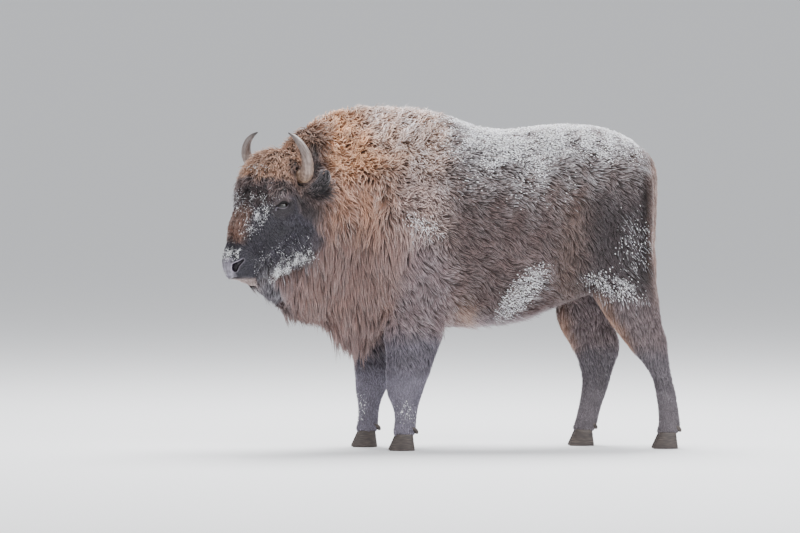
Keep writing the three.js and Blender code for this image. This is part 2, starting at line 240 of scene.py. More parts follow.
# ---------------------------------------------------------------- materials
class Matter:
    """A material with a Principled shader, and short ways to add nodes to it."""

    def __init__(self, name, colour, roughness, **more):
        self.data = bpy.data.materials.new(name)
        self.data.use_nodes = True
        self.nodes, self.wire = self.data.node_tree.nodes, self.data.node_tree.links.new
        self.shade = self.nodes["Principled BSDF"].inputs
        more.update(Base_Color=(*colour, 1), Roughness=roughness)
        for key, value in more.items():
            self.shade[key.replace("_", " ")].default_value = value

    def node(self, kind, **values):
        """The outputs of a new node. Each value is wired or set to its input of that name, or is a setting."""
        made = self.nodes.new(kind)
        for key, value in values.items():
            if key not in made.inputs:
                setattr(made, key, value)
            elif isinstance(value, bpy.types.NodeSocket):
                self.wire(value, made.inputs[key])
            else:
                made.inputs[key].default_value = value
        return made.outputs

    def layer(self, name, output="Fac"):
        return self.node("ShaderNodeAttribute", attribute_name=name)[output]

    def here(self):
        return self.node("ShaderNodeTexCoord")["Object"]

    def noise(self, scale, detail=3.0, roughness=0.55, where=None):
        return self.node("ShaderNodeTexNoise", Scale=scale, Detail=detail, Roughness=roughness,
                         Vector=self.here() if where is None else where)["Fac"]

    def tones(self, source, *stops):
        """A value turned into colour by the stops of a ramp, each a place and a colour, or a place and a grey."""
        made = self.nodes.new("ShaderNodeValToRGB")
        self.wire(source, made.inputs["Fac"])
        elements = made.color_ramp.elements
        while len(elements) < len(stops):
            elements.new(0.5)
        for element, (place, colour) in zip(elements, stops):
            element.position = place
            element.color = (*(colour if np.ndim(colour) else [colour] * 3), 1)
        return made.outputs["Color"]

    def paint(self, *colours):
        """The product of the colours, as the shader's base colour."""
        product = colours[0]
        for colour in colours[1:]:
            product = self.node("ShaderNodeMix", data_type="RGBA", blend_type="MULTIPLY", Factor=1.0,
                                A=product, B=colour)["Result"]
        self.wire(product, self.shade["Base Color"])

    def bump(self, height, strength, distance):
        made = self.node("ShaderNodeBump", Strength=strength, Distance=distance, Height=height)
        self.wire(made["Normal"], self.shade["Normal"])
        return self


def coat_material(name, roughness, sheen):
    """Hair whose colour comes with each tuft, darker at its root, with fine streaks."""
    hair = Matter(name, (0.2, 0.16, 0.14), roughness, Sheen_Weight=sheen, Sheen_Roughness=0.5,
                  Specular_IOR_Level=0.22)
    speck = hair.noise(240.0, 2.0)
    hair.paint(hair.layer("coat", "Color"), hair.tones(speck, (0.30, (0.72, 0.70, 0.70)), (0.70, (1.22, 1.22, 1.24))))
    return hair.bump(speck, 0.35, 0.002)


def skin_material():
    """Hide under the coat, and the bare skin of the nose, the lips and the lids, told apart by the layer `bare`."""
    skin = Matter("skin", (0.1, 0.08, 0.07), 0.85)
    bare = skin.layer("bare")
    fine = skin.noise(160.0, 4.0)
    skin.paint(skin.layer("coat", "Color"), skin.tones(fine, (0.25, 0.7), (0.75, 1.2)))
    rough = skin.nodes.new("ShaderNodeMapRange")
    rough.inputs["To Min"].default_value = 0.88
    rough.inputs["To Max"].default_value = 0.30
    skin.wire(bare, rough.inputs["Value"])
    skin.wire(rough.outputs["Result"], skin.shade["Roughness"])
    pebble = skin.node("ShaderNodeTexVoronoi", Scale=330.0, Vector=skin.here())["Distance"]
    pick = skin.node("ShaderNodeMix", Factor=bare, A=fine, B=pebble)["Result"]
    return skin.bump(pick, 0.5, 0.0022)


def horn_material():
    """Grey-brown horn, streaked along its length, ringed near the root and dark at the tip."""
    horn = Matter("horn", (0.3, 0.28, 0.27), 0.42)
    tone = horn.tones(
        horn.layer("along"), (0.14, linear(92, 68, 50)), (0.24, linear(142, 120, 102)), (0.36, linear(142, 124, 114)),
        (0.60, linear(118, 107, 103)), (0.84, linear(112, 105, 104)), (0.95, linear(62, 57, 57)),
        (1.0, linear(42, 38, 39)))
    fibre = horn.noise(4.2, 5.0, 0.65, horn.layer("spin", "Vector"))
    patchy = horn.tones(fibre, (0.34, (0.50, 0.46, 0.44)), (0.50, (0.92, 0.90, 0.88)), (0.66, (1.22, 1.22, 1.24)))
    broad = horn.tones(horn.noise(34.0, 4.0, 0.6), (0.36, (0.72, 0.68, 0.66)), (0.62, 1.1))
    horn.paint(tone, patchy, broad)
    return horn.bump(fibre, 0.6, 0.0025)


def hoof_material():
    """Dark horn with fine bands that run round the claw."""
    hoof = Matter("hoof", (0.04, 0.035, 0.033), 0.5)
    stretch = hoof.node("ShaderNodeMapping", Scale=(30.0, 30.0, 260.0), Vector=hoof.here())["Vector"]
    bands = hoof.node("ShaderNodeTexNoise", Scale=1.0, Detail=3.0, Vector=stretch)["Fac"]
    hoof.paint(hoof.tones(bands, (0.3, linear(38, 32, 31)), (0.6, linear(70, 61, 57)), (0.8, linear(104, 93, 86))))
    return hoof.bump(bands, 0.5, 0.002)


def eye_material():
    """A dark eye under a clear coat: the layer `rim` runs from the pupil over the iris to the white."""
    eye = Matter("eye", (0.02, 0.012, 0.01), 0.12, Coat_Weight=0.8, Coat_Roughness=0.02, Coat_IOR=1.6,
                 Specular_IOR_Level=0.2)
    tone = eye.tones(
        eye.layer("rim"), (0.0, linear(4, 4, 6)), (0.28, linear(5, 5, 6)), (0.33, linear(20, 14, 12)),
        (0.52, linear(24, 17, 14)), (0.60, linear(9, 8, 8)), (0.80, linear(18, 15, 16)), (1.0, linear(70, 54, 52)))
    eye.paint(tone, eye.tones(eye.noise(900.0, 2.0), (0.3, 0.7), (0.7, 1.2)))
    return eye


def snow_material():
    snow = Matter("snow", (0.93, 0.94, 0.97), 0.5, Subsurface_Weight=0.25, Subsurface_Radius=(0.004, 0.004, 0.005),
                  Subsurface_Scale=1.0)
    grain = snow.noise(420.0, 3.0)
    snow.paint(snow.tones(grain, (0.3, (0.90, 0.92, 0.97)), (0.7, (0.98, 0.985, 1.0))))
    return snow.bump(grain, 0.6, 0.002)


# ---------------------------------------------------------------- skin
FLESH = ["head", "neck", "trunk", "tail", "fore_leg_left", "fore_leg_right", "hind_leg_left", "hind_leg_right",
         "ear_left", "ear_right"]
ZONE = {name: i for i, name in enumerate(FLESH)}
ZONE["eye_left"] = ZONE["eye_right"] = ZONE["head"]
VOXEL = 0.0203
WARP_FROM = [0.0, 0.42, 0.85, 4.0]
WARP_TO = [0.0, 0.42 * 2.4, 0.42 * 2.4 + 0.43 * 1.3, 0.42 * 2.4 + 0.43 * 1.3 + 3.15]
WARP_MIDDLE = HEAD_AT + 0.20 * U
GROWN = 0.0012


def welded(obj):
    """A node's vertices and triangles, with vertices at one place joined."""
    me = obj.data
    co = places(me)
    me.calc_loop_triangles()
    tri = read(me.loop_triangles, "vertices", np.int32, 3)
    keys = np.round(co / 2e-5).astype(np.int64)
    _, index, back = np.unique(keys, axis=0, return_index=True, return_inverse=True)
    tri = back.reshape(-1)[tri]
    good = (tri[:, 0] != tri[:, 1]) & (tri[:, 1] != tri[:, 2]) & (tri[:, 0] != tri[:, 2])
    return co[index], tri[good]


def vertex_normals(co, tri):
    face = np.cross(co[tri[:, 1]] - co[tri[:, 0]], co[tri[:, 2]] - co[tri[:, 0]])
    total = np.zeros_like(co)
    for k in range(3):
        for axis in range(3):
            total[:, axis] += np.bincount(tri[:, k], face[:, axis], len(co))
    return unit(total)


def warp(points, source, target):
    offset = points - WARP_MIDDLE
    r = np.linalg.norm(offset, axis=1)
    return WARP_MIDDLE + offset * (np.interp(r, source, target) / np.maximum(r, 1e-9))[:, None]


def mesh_links(me):
    """For averaging over the vertices joined to each vertex."""
    edges = read(me.edges, "vertices", np.int32, 2)
    both = np.concatenate([edges, edges[:, ::-1]])
    both = both[np.argsort(both[:, 0], kind="stable")]
    degree = np.bincount(both[:, 0], minlength=len(me.vertices))
    starts = np.concatenate([[0], np.cumsum(degree)[:-1]])
    return both[:, 1], np.minimum(starts, len(both) - 1), np.maximum(degree, 1)


def relax(values, links, rounds, share=0.5, weight=None):
    """Each value drawn towards the mean of its neighbours."""
    to, starts, degree = links
    for _ in range(rounds):
        mean = np.add.reduceat(values[to], starts, axis=0) / (degree[:, None] if values.ndim > 1 else degree)
        step = share * (mean - values)
        if weight is not None:
            step = step * (weight[:, None] if values.ndim > 1 else weight)
        values = values + step
    return values


def joined(parts):
    """Sets of vertices and triangles as one set."""
    starts = np.cumsum([0] + [len(co) for co, _ in parts])
    return np.concatenate([co for co, _ in parts]), np.concatenate([tri + n for (_, tri), n in zip(parts, starts)])


def flesh_soup():
    """All flesh nodes, a little grown so that they overlap, as one set of triangles with the zone of each."""
    names = FLESH + ["eye_left", "eye_right"]
    parts = [welded(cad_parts[name]) for name in names]
    zone = np.concatenate([np.full(len(tri), ZONE[name]) for name, (_, tri) in zip(names, parts)])
    return *joined([(co + GROWN * vertex_normals(co, tri), tri) for co, tri in parts]), zone


def plugs():
    """Balls that fill the sockets left for the horns and the ears."""
    balls = []
    for side, _ in SIDES:
        for place, radius in ((on_head(2, 104 * side, -24), 0.044), (on_head(30, 112 * side, -66), 0.042)):
            bm = bmesh.new()
            bmesh.ops.create_icosphere(bm, subdivisions=3, radius=radius)
            co = np.array([v.co for v in bm.verts]) + place
            balls.append((co, np.array([[v.index for v in f.verts] for f in bm.faces])))
            bm.free()
    return balls


EYE_AT = (196, 145, -8)
EYE_RADIUS = 30.0


def eye_frame(side):
    """Middle, outward, along (from the tear duct to the outer corner) and upward axes of an eye, in u, v, w."""
    out = unit(np.array([0.10, 0.93 * side, 0.30]))
    along = np.array([-0.66, 0.24 * side, -0.56])
    along = unit(along - (along @ out) * out)
    up = np.cross(out, along) * side
    if up[2] < 0 and up[0] > 0:
        up = -up
    return np.array([EYE_AT[0], EYE_AT[1] * side, EYE_AT[2]], float), out, along, up


def build_skin():
    """One skin over all flesh: remeshed with the head blown up, so that the head gets finer faces than the body."""
    soup, tri, zone = flesh_soup()
    co, tris = joined([(soup, tri)] + plugs())
    raw = make_mesh("raw", warp(co, WARP_FROM, WARP_TO), tris.ravel(), np.full(len(tris), 3))
    change = raw.modifiers.new("remesh", "REMESH")
    change.mode = "VOXEL"
    change.voxel_size = VOXEL
    change.adaptivity = 0.0
    got = raw.evaluated_get(bpy.context.evaluated_depsgraph_get()).to_mesh()
    co = warp(places(got), WARP_TO, WARP_FROM)
    corners, sizes = read(got.loops, "vertex_index", np.int32), read(got.polygons, "loop_total", np.int32)
    raw.to_mesh_clear()
    bpy.data.objects.remove(raw)
    co, corners, sizes = largest_part(co, corners, sizes)
    skin = make_mesh("skin", co, corners, sizes)
    move(skin.data, relax(co, mesh_links(skin.data), 3, 0.5))
    refine(skin)
    return skin, BVHTree.FromPolygons([Vector(p) for p in soup], tri.tolist()), zone


def largest_part(co, corners, sizes):
    """Only the biggest connected part, so that no small bubble is left inside."""
    label = np.arange(len(co))
    starts = np.concatenate([[0], np.cumsum(sizes)[:-1]])
    first = np.repeat(corners[starts], sizes)
    for _ in range(400):
        low = np.minimum(label[first], label[corners])
        new = label.copy()
        np.minimum.at(new, first, low)
        np.minimum.at(new, corners, low)
        new = new[new]
        if (new == label).all():
            break
        label = new
    best = np.bincount(label).argmax()
    keep_vertex = label == best
    keep_face = keep_vertex[corners[starts]]
    keep_corner = np.repeat(keep_face, sizes)
    renumber = np.cumsum(keep_vertex) - 1
    return co[keep_vertex], renumber[corners[keep_corner]].astype(np.int32), sizes[keep_face]


def refine(skin):
    """Finer faces on the face, and finer again round the eyes and on the muzzle."""
    def eyes(p, reach):
        hit = np.zeros(len(p), bool)
        for side, _ in SIDES:
            middle, out, _, _ = eye_frame(side)
            d = p - middle
            depth = d @ out
            flat = np.linalg.norm(d - depth[:, None] * out, axis=1)
            hit |= (flat < reach) & (depth > -25)
        return hit

    def box(p, low, high):
        return ((p > low) & (p < high)).all(1)

    far = 1e4
    steps = [
        lambda p: box(p, (120, -210, -190), (660, 210, far)) & ((p[:, 0] > 470) | eyes(p, 90)),
        lambda p: eyes(p, 52) | box(p, (520, -far, -60), (far, far, 70)),
        lambda p: eyes(p, 36),
    ]
    bm = bmesh.new()
    bm.from_mesh(skin.data)
    for test in steps:
        bm.verts.ensure_lookup_table()
        bm.faces.ensure_lookup_table()
        inside = test(head_local(np.array([f.calc_center_median() for f in bm.faces])))
        edges = {e for f, yes in zip(bm.faces, inside) if yes for e in f.edges}
        bmesh.ops.subdivide_edges(bm, edges=list(edges), cuts=1, use_grid_fill=True)
    bmesh.ops.triangulate(bm, faces=[f for f in bm.faces if len(f.verts) > 4])
    bm.to_mesh(skin.data)
    bm.free()
    smoothed(skin.data)
    co = places(skin.data)
    local = head_local(co)
    near_head = ramp(np.linalg.norm(co - HEAD_AT, axis=1), 0.75, 0.65)
    links = mesh_links(skin.data)
    co = relax(co, links, 4, 0.5, ramp(local[:, 0], 100, 160) * near_head)
    co = relax(co, links, 70, 0.6, ramp(near_line(local, CREASE), 75, 25) * near_head)
    move(skin.data, co)


# ---------------------------------------------------------------- where a point of the skin is
class Place:
    """What the rules for depth, colour and lie read about points: their place, head place, normal and zones."""

    def __init__(self, points, normals, share, soft_head, flat=None):
        self.points = points
        self.normals = normals
        self.share = share
        self.soft_head = soft_head
        self.x, self.y, self.z = ((points - CENTRE) / MM).T
        self.side = np.where(self.y > 0, 1.0, -1.0)
        self.local = head_local(points)
        self.flat = self.local if flat is None else flat
        self.u, self.v, self.w = self.local.T
        self.head_side = np.where(self.v > 0, 1.0, -1.0)

    def part(self, *names):
        return sum(self.share[:, ZONE[name]] for name in names)


FORELEGS = ("fore_leg_left", "fore_leg_right")
HINDLEGS = ("hind_leg_left", "hind_leg_right")
EARS = ("ear_left", "ear_right")
NOSTRIL = [(582, 43, -12, 15), (571, 48, -4, 18.5), (560, 58, -2, 12.5), (547, 67, -5, 8.5), (532, 77, -7, 7)]
MOUTH = [(623, 0, -50), (614, 26, -44), (594, 55, -69), (565, 65, -112), (556, 55, -139)]
CREASE = [(190, 97, -180), (250, 88, -158), (378, 73, -126), (500, 79, -93), (542, 83, -87)]
LID_HALF, LID_UP, LID_LOW = 29.5, 13.5, 12.0


def near_line(local, line, radius=False):
    """Distance to a line that is mirrored on both sides of the head, and the radius there."""
    best = np.full(len(local), 1e9)
    wide = np.ones(len(local))
    p = local.copy()
    p[:, 1] = np.abs(p[:, 1])
    for a, b in zip(line[:-1], line[1:]):
        a3, b3 = np.array(a[:3], float), np.array(b[:3], float)
        t = np.clip((p - a3) @ (b3 - a3) / ((b3 - a3) @ (b3 - a3)), 0, 1)
        d = np.linalg.norm(p - a3 - t[:, None] * (b3 - a3), axis=1)
        closer = d < best
        best = np.where(closer, d, best)
        if radius:
            wide = np.where(closer, a[3] + t * (b[3] - a[3]), wide)
    return (best, wide) if radius else best


def eye_place(local, side):
    """Distance from the edge of an eye's opening (negative inside), and the eye's own coordinates."""
    middle, out, along, up = eye_frame(side)
    d = local - middle
    c, x, y = d @ out, d @ along, d @ up
    height = np.where(y > 0, LID_UP, LID_LOW)
    inside = np.abs(y) - height * (1 - (x / LID_HALF) ** 2)
    edge = np.where(np.abs(x) < LID_HALF, inside, np.hypot(np.abs(x) - LID_HALF, y))
    return edge, x, y, c


def near_eyes(local):
    """The smaller distance from either eye's opening; far away where the point isn't on that side."""
    best = np.full(len(local), 1e3)
    for side, _ in SIDES:
        edge, _, _, c = eye_place(local, side)
        best = np.where((c > -20) & (local[:, 1] * side > 60), np.minimum(best, edge), best)
    return best


def pad_mask(place):
    """The bare nose between and above the nostrils, down to the upper lip."""
    p = place.flat
    middle = 1 - ramp(np.abs(p[:, 1]), 34, 46)
    top = ramp(p[:, 0] + 0.35 * p[:, 2], 550, 564)
    above_lip = ramp(p[:, 2], -52, -44)
    shape = middle * top * above_lip
    d, r = near_line(p, NOSTRIL, True)
    return np.clip(np.maximum(shape, 1 - ramp(d - r, 2, 7)), 0, 1) * (p[:, 0] > 500)


def bare_mask(place):
    lips = 1 - ramp(near_line(place.flat, MOUTH), 3, 7)
    lids = 1 - ramp(near_eyes(place.local), 2.5, 5.5)
    d, r = near_line(place.flat, NOSTRIL, True)
    hole = (1 - ramp(d / r, 0.95, 1.2)) * (place.u > 480)
    return np.clip(pad_mask(place) + lips * (place.u > 540) + lids + hole, 0, 1) * place.part("head")


# ---------------------------------------------------------------- the coat, region by region
# For each region: its name, the colour of the roots and of the ends (sRGB), frost, depth of the skin below the ends
# of the coat, length and width of a tuft in millimetres, tufts per square metre, where the hair points (in the body's
# axes: back, outward, up; or the head's: u, outward v, w; or the ear's: -, along the ear, w), whose axes those are,
# width of the curl in millimetres, hang, clump and wave.
# The near-black colours of the region groove are painted shade in the sunken hollow beside the tail.
REGION_TABLE = """
body      80 64 62    116 96 94   0.14 24  48  5.2 15000 1 0 -0.5      body 0   0    0.35 0.6
back      74 61 58    150 134 131 0.5  24  40  5.2 17500 1 0 -0.25     body 3   0    0.35 0.8
belly     118 104 106 176 162 166 0.5  26  64  5.4 12500 0.7 0 -0.6    body 0   0.35 0.4  0.35
haunch    50 41 43    76 64 66    0.08 18  40  5.2 14500 0.6 0 -1      body 0   0    0.3  0.5
band      84 66 60    122 100 92  0.12 24  54  5.4 13500 0.35 0 -1     body 0   0    0.4  0.6
groove    32 26 27    48 40 42    0    24  40  5   14000 0.3 0 -1      body 0   0    0.35 0.35
hump      134 106 90  226 200 184 0.3  38  46  6   16500 1 0 -0.1      body 9.5 0    0.3  1.2
shoulder  122 100 94  204 181 171 0.26 32  38  5.8 17000 0.8 0 -0.8    body 8   0    0.25 1.2
flank     106 89 90   154 136 138 0.2  28  60  5.6 14000 0.6 0 -1      body 3   0    0.4  0.6
crest     134 88 56   222 174 132 0.12 46  50  7   16000 0.8 0 0.1     body 13  0    0.3  1.4
neck      134 94 72   184 144 120 0.14 40  84  7   12500 0.45 0 -1     body 7   0.1  0.5  0.8
mane      106 81 75   144 117 109 0.1  46  140 7.6 11500 0.12 0 -1     body 4   0.5  0.6  0.4
throat    106 82 77   142 117 112 0.08 44  170 7.6 12000 0.1 0 -1      body 4.4 0.8  0.6  0.3
elbow     132 104 90  182 154 136 0.1  30  96  5.6 13500 0.6 0 -1      body 0   0.35 0.4  0.35
arm       92 87 96    120 114 125 0.06 12  36  4.8 17000 0.3 0 -1      body 0   0    0.3  0.35
shin      118 113 126 146 141 156 0.05 3.5 18  3.6 24000 0.1 0 -1      body 0   0    0.25 0.25
thigh     100 87 88   136 120 121 0.06 12  40  5   15000 0.3 0 -1      body 0   0    0.35 0.35
fringe    124 94 78   186 150 130 0.12 14  84  5   15000 -0.5 0 -1     body 0   0    0.4  0.6
rump      104 84 78   172 150 142 0.1  12  72  5   15500 1.4 0 -1      body 0   0    0.4  0.6
hock      92 86 91    118 111 117 0.05 8   26  4.2 20000 0.2 0 -1      body 0   0    0.3  0.3
shank     106 99 104  132 125 131 0.05 3.5 18  3.6 24000 0.1 0 -1      body 0   0    0.25 0.25
tail      128 104 94  190 174 168 0.1  12  60  5.2 18000 0.1 0 -1      body 0   0.1  0.45 0.3
brush     112 88 78   172 152 146 0.1  16  150 5.6 17000 0 0 -1        body 0   0.7  0.5  0.25
forehead  110 76 55   188 150 125 0.05 32  46  5.6 20000 1 0.15 0.1    head 8   0    0.3  1.1
poll      48 35 34    116 92 86   0.1  30  44  5.2 21000 0.9 0.2 -0.1  head 7   0    0.3  1.1
horn_hair 46 35 33    122 98 90   0.05 16  62  5   26000 -1 0.8 0.2    head 4   0    0.4  0.8
brow      36 29 30    84 70 70    0.05 20  38  4.6 25000 0.6 0.4 -0.1  head 5   0    0.4  1
forelock  30 25 27    84 72 72    0.05 22  64  4.6 20000 0.6 0.4 -0.9  head 5   0    0.5  0.7
ruff      58 43 39    142 114 102 0.04 24  62  5   24000 0.35 1 0.15   head 5   0    0.45 0.7
orbit     54 49 54    72 66 72    0    6   9   2.4 50000 0.35 0.3 -0.9 head 0   0    0.2  0.2
face      44 41 48    70 67 77    0.04 8   15  2.9 48000 0.35 0.3 -0.9 head 0   0    0.3  0.4
nose      84 56 44    140 108 94  0.08 12  30  3.4 34000 0.8 0.4 0.3   head 3   0    0.4  0.8
cheek     52 49 57    92 88 99    0.06 12  26  3.4 32000 0.35 0.1 -0.9 head 2   0    0.35 0.7
muzzle    50 48 56    72 69 80    0.02 3   8   2.2 60000 -0.6 0.4 -0.5 head 0   0    0.2  0.3
chin      158 140 134 206 190 186 0.05 6   14  2.6 44000 0.2 0.1 -1    head 0   0.2  0.35 0.4
jaw       46 41 46    116 110 118 0.3  16  52  4.2 26000 -0.1 0.05 -1  body 3   0.45 0.4  0.6
beard     102 80 75   140 116 112 0.06 36  140 6.8 14000 0.05 0 -1     body 4   0.75 0.6  0.4
ear       96 78 74    178 154 146 0.12 3.5 26  3.2 38000 0 1 -0.4      ear  0   0    0.35 0.5
ear_cup   16 13 15    112 104 108 0.22 3   34  2.8 28000 0 1 0.5       ear  4   0    0.4  0.9
ear_edge  34 28 30    112 92 88   0.08 3.5 84  4   34000 0 0.6 -0.8    ear  5   0.55 0.5  0.6
pad       112 105 116 122 114 126 0    0.6 6   2       0 0 0 -1        head 0   0    0.4  0.35
"""


def read_regions():
    keys = ("frost", "depth", "length", "width", "density", "curl", "hang", "clump", "wave")
    regions = {}
    for row in REGION_TABLE.strip().splitlines():
        name, *cells = row.split()
        axes = cells.pop(14)
        n = [float(cell) for cell in cells]
        regions[name] = dict(zip(keys, n[6:11] + n[14:]), colour=linear(*n[:3]), tip=linear(*n[3:6]),
                             lie=n[11:14], axes=axes)
    return regions


REGIONS = read_regions()
NAMES = list(REGIONS)


def cheek_edge(u):
    """The w at which the short hair of the cheek ends, for each u."""
    return np.interp(u, [60, 118, 173, 259, 310, 367, 482, 560], [-100, -174, -255, -305, -292, -250, -160, -112])


def before_mouth(p):
    """Above 0 in front of and above the line of the mouth, below 0 on the chin."""
    return p[:, 2] - (-46 + 1.36 * (p[:, 0] - 618))


def region_shares(place):
    """How much of each region a point has; the shares add up to 1."""
    x, z, u, v, w = place.x, place.z, place.u, np.abs(place.v), place.w
    head = place.soft_head
    fore, hind, ears, tail = place.part(*FORELEGS), place.part(*HINDLEGS), place.part(*EARS), place.part("tail")
    wobble = waves(place.points, 0.16, 3)
    small = waves(place.points, 0.045, 4)
    xx, zz = x + 40 * wobble, z + 28 * wobble
    uu, ww = u + 14 * small, w + 9 * small
    front = ramp(xx, 0, -120)
    side = np.abs(place.y)
    in_front = before_mouth(place.flat)
    far_side = ramp(place.side * place.head_side, 0.5, -0.5)
    cheeky = np.clip(head + place.part("neck") * ramp(v, 60, 110) * ramp(u, 40, 90) * far_side, 0, 1)
    above_edge = ww - cheek_edge(u)
    layers = [
        ("body", np.ones(len(x))),
        ("back", ramp(zz, 1180, 1420) * ramp(xx, -120, 60)),
        ("belly", ramp(zz, 760, 660)),
        ("haunch", ramp(xx, 600, 700) * ramp(zz, 1400, 1250)),
        ("band", np.exp(-(((x - 590 + 20 * wobble) / 75) ** 2)) * ramp(zz, 1400, 1200) * ramp(zz, 640, 760)),
        # groove: painted shade in the sunken hollow beside the tail
        ("groove", ramp(x, 926, 946) * ramp(x, 990, 972) * ramp(side, 30, 60) * ramp(z, 1420, 1330)
         * ramp(z, 840, 940)),
        ("rump", ramp(x, 972, 992) * ramp(z, 1490, 1430) * ramp(z, 640, 740)),
        ("hump", front * ramp(zz, 1280, 1480)),
        ("shoulder", front * ramp(zz, 1480, 1280)),
        ("flank", front * ramp(zz, 1140, 1020)),
        ("crest", ramp(xx + 0.9 * np.maximum(z - 1500, 0), -300, -450) * ramp(zz, 1290, 1450)),
        ("neck", ramp(xx, -290, -420) * ramp(zz, 1450, 1300)),
        ("mane", ramp(xx - 0.3 * (z - 900), -280, -390) * ramp(zz, 1300, 1060)),
        ("throat", ramp(xx, -330, -400) * ramp(zz, 800, 700)),
        ("elbow", np.exp(-(((x - 20) / 46) ** 2 + ((z - 705) / 74) ** 2))),
        ("arm", fore * ramp(z, 700, 610)),
        ("shin", fore * ramp(z, 430, 370)),
        ("thigh", ramp(z, 860, 700) * np.clip(hind + ramp(x, 560, 640), 0, 1)),
        ("hock", hind * ramp(z, 560, 470)),
        ("fringe", np.clip(hind + ramp(x, 600, 650), 0, 1) * ramp(zz, 500, 580) * ramp(zz, 840, 760)
         * ramp(place.normals[:, 0], -0.30, -0.70)),
        ("shank", hind * ramp(z, 330, 260)),
        ("tail", tail),
        ("brush", tail * ramp(z, 1080, 1000)),
        ("beard", head),
        ("cheek", cheeky * ramp(above_edge, -14, 12)),
        ("poll", head * ramp(uu, 180, 140) * ramp(ww - 0.25 * u, -30, 20)),
        ("forehead", head * ramp(uu + 0.5 * np.maximum(v - 90, 0), 108, 66) * ramp(ww - 0.25 * u, -20, 30)),
        ("brow", head * ramp(uu, 126, 168) * ramp(uu, 275, 230) * ramp(ww, -30, 20)),
        ("forelock", head * ramp(v, 90, 126) * ramp(ww, 60, 15) * ramp(uu, 150, 100) * ramp(ww, -210, -150)),
        ("ruff", head * (1 - ramp(np.sqrt((u - 4) ** 2 + (v - 106) ** 2 + (w + 24) ** 2), 60, 98))),
        ("face", head * ramp(uu, 215, 265) * ramp(w, -160, -110)),
        ("nose", head * ramp(uu, 230, 300) * ramp(uu, 470, 410) * ramp(v, 80, 50) * ramp(ww, 14, 40)),
        ("jaw", head * np.maximum(ramp(above_edge, 46, 18) * ramp(above_edge, -52, -20) * ramp(u, 200, 290),
                                  ramp(u, 420, 480) * ramp(w, -150, -200) * ramp(w, -420, -330)) * ramp(u, 590, 566)),
        ("muzzle", head * ramp(u, 470, 515) * ramp(w + 0.30 * u, -10, 20)),
        ("chin", head * ramp(u, 528, 556) * ramp(in_front, 6, -8) * ramp(w, -222, -200)),
        ("horn_hair", head * np.exp(-(((u - 40) / 30) ** 2 + ((w + 72) / 42) ** 2)) * ramp(v, 85, 110)),
        ("orbit", head * ramp(near_eyes(place.local), 62, 34)),
        ("ear", ears),
        ("ear_cup", ears * ramp(place.normals @ (0.93 * W + 0.2 * U), 0.15, 0.55)),
        ("ear_edge", ears * ramp(place.normals[:, 2], -0.1, -0.6)),
        ("pad", bare_mask(place)),
    ]
    shares = np.zeros((len(x), len(NAMES)))
    for name, mask in layers:
        shares *= (1 - mask)[:, None]
        shares[:, NAMES.index(name)] += mask
    return shares


def blended(shares, key):
    return shares @ np.array([REGIONS[name][key] for name in NAMES], float)


EAR_OUT = {side: unit(-62 * U + 110 * side * V + 8 * W) for side, _ in SIDES}


def lie_of_coat(place, shares):
    """The way the hair points over the skin."""
    total = np.zeros((len(place.x), 3))
    for i, name in enumerate(NAMES):
        a, b, c = REGIONS[name]["lie"]
        if REGIONS[name]["axes"] == "head":
            way = a * U + b * place.head_side[:, None] * V + c * W
        elif REGIONS[name]["axes"] == "ear":
            outward = np.where(place.head_side[:, None] > 0, EAR_OUT[1], EAR_OUT[-1])
            way = b * outward + c * W
        else:
            way = np.stack([np.full(len(place.x), a), b * place.side, np.full(len(place.x), c)], 1)
        total += shares[:, i:i + 1] * way
    eye = near_eyes(place.local)
    near = ramp(eye, 30, 4) * place.part("head")
    for side, _ in SIDES:
        middle = on_head(*eye_frame(side)[0])
        away = unit(place.points - middle)
        mask = near * (place.head_side == side)
        total = mix(total, away, mask)
    return total


def tangent(way, normals):
    return unit(way - (way * normals).sum(1, keepdims=True) * normals)


# ---------------------------------------------------------------- sculpting
def zone_shares(points, links, tree, zone):
    found = np.array([tree.find_nearest(Vector(p))[2] for p in points])
    shares = np.zeros((len(points), len(FLESH)))
    shares[np.arange(len(points)), zone[found]] = 1
    return relax(shares, links, 5, 0.6)


def moved_normals(me, co):
    """The vertex normals of a mesh once its vertices are moved."""
    move(me, co)
    return read(me.vertices, "normal", width=3).astype(float)


def sculpt_skin(skin, tree, zone):
    me = skin.data
    co = places(me)
    links = mesh_links(me)
    normals = relax(moved_normals(me, co), links, 4, 0.6)
    shares = zone_shares(co, links, tree, zone)
    soft_head = relax(shares[:, ZONE["head"]], links, 24, 0.6)
    place = Place(co, unit(normals), shares, soft_head)
    regions = region_shares(place)
    depth = relax(blended(regions, "depth"), links, 6, 0.6)
    depth = relax(depth, links, 14, 0.6, soft_head)
    depth = np.where(near_eyes(place.local) < 40, np.minimum(depth, 10), depth)
    depth = depth * mix(1.0, ramp(place.z, 76, 125) + 0.15, place.part(*FORELEGS, *HINDLEGS))
    co = co - unit(normals) * depth[:, None] * MM
    lift = 0.26 * np.maximum(880 - place.z, 0) * place.part("head") * ramp(place.z, 1000, 880)
    chest = np.clip(place.part("neck", "trunk"), 0, 1)
    under = 0.26 * ramp(place.x, -230, -330) + 0.20 * ramp(place.x, -560, -660)
    lift += np.maximum(760 - place.z, 0) * chest * under
    co[:, 2] += lift * MM
    co, flat = sculpt_head(co, place)
    co = sculpt_body(co, unit(normals), place)
    normals = moved_normals(me, co)
    return Place(co, normals, shares, soft_head, flat), links


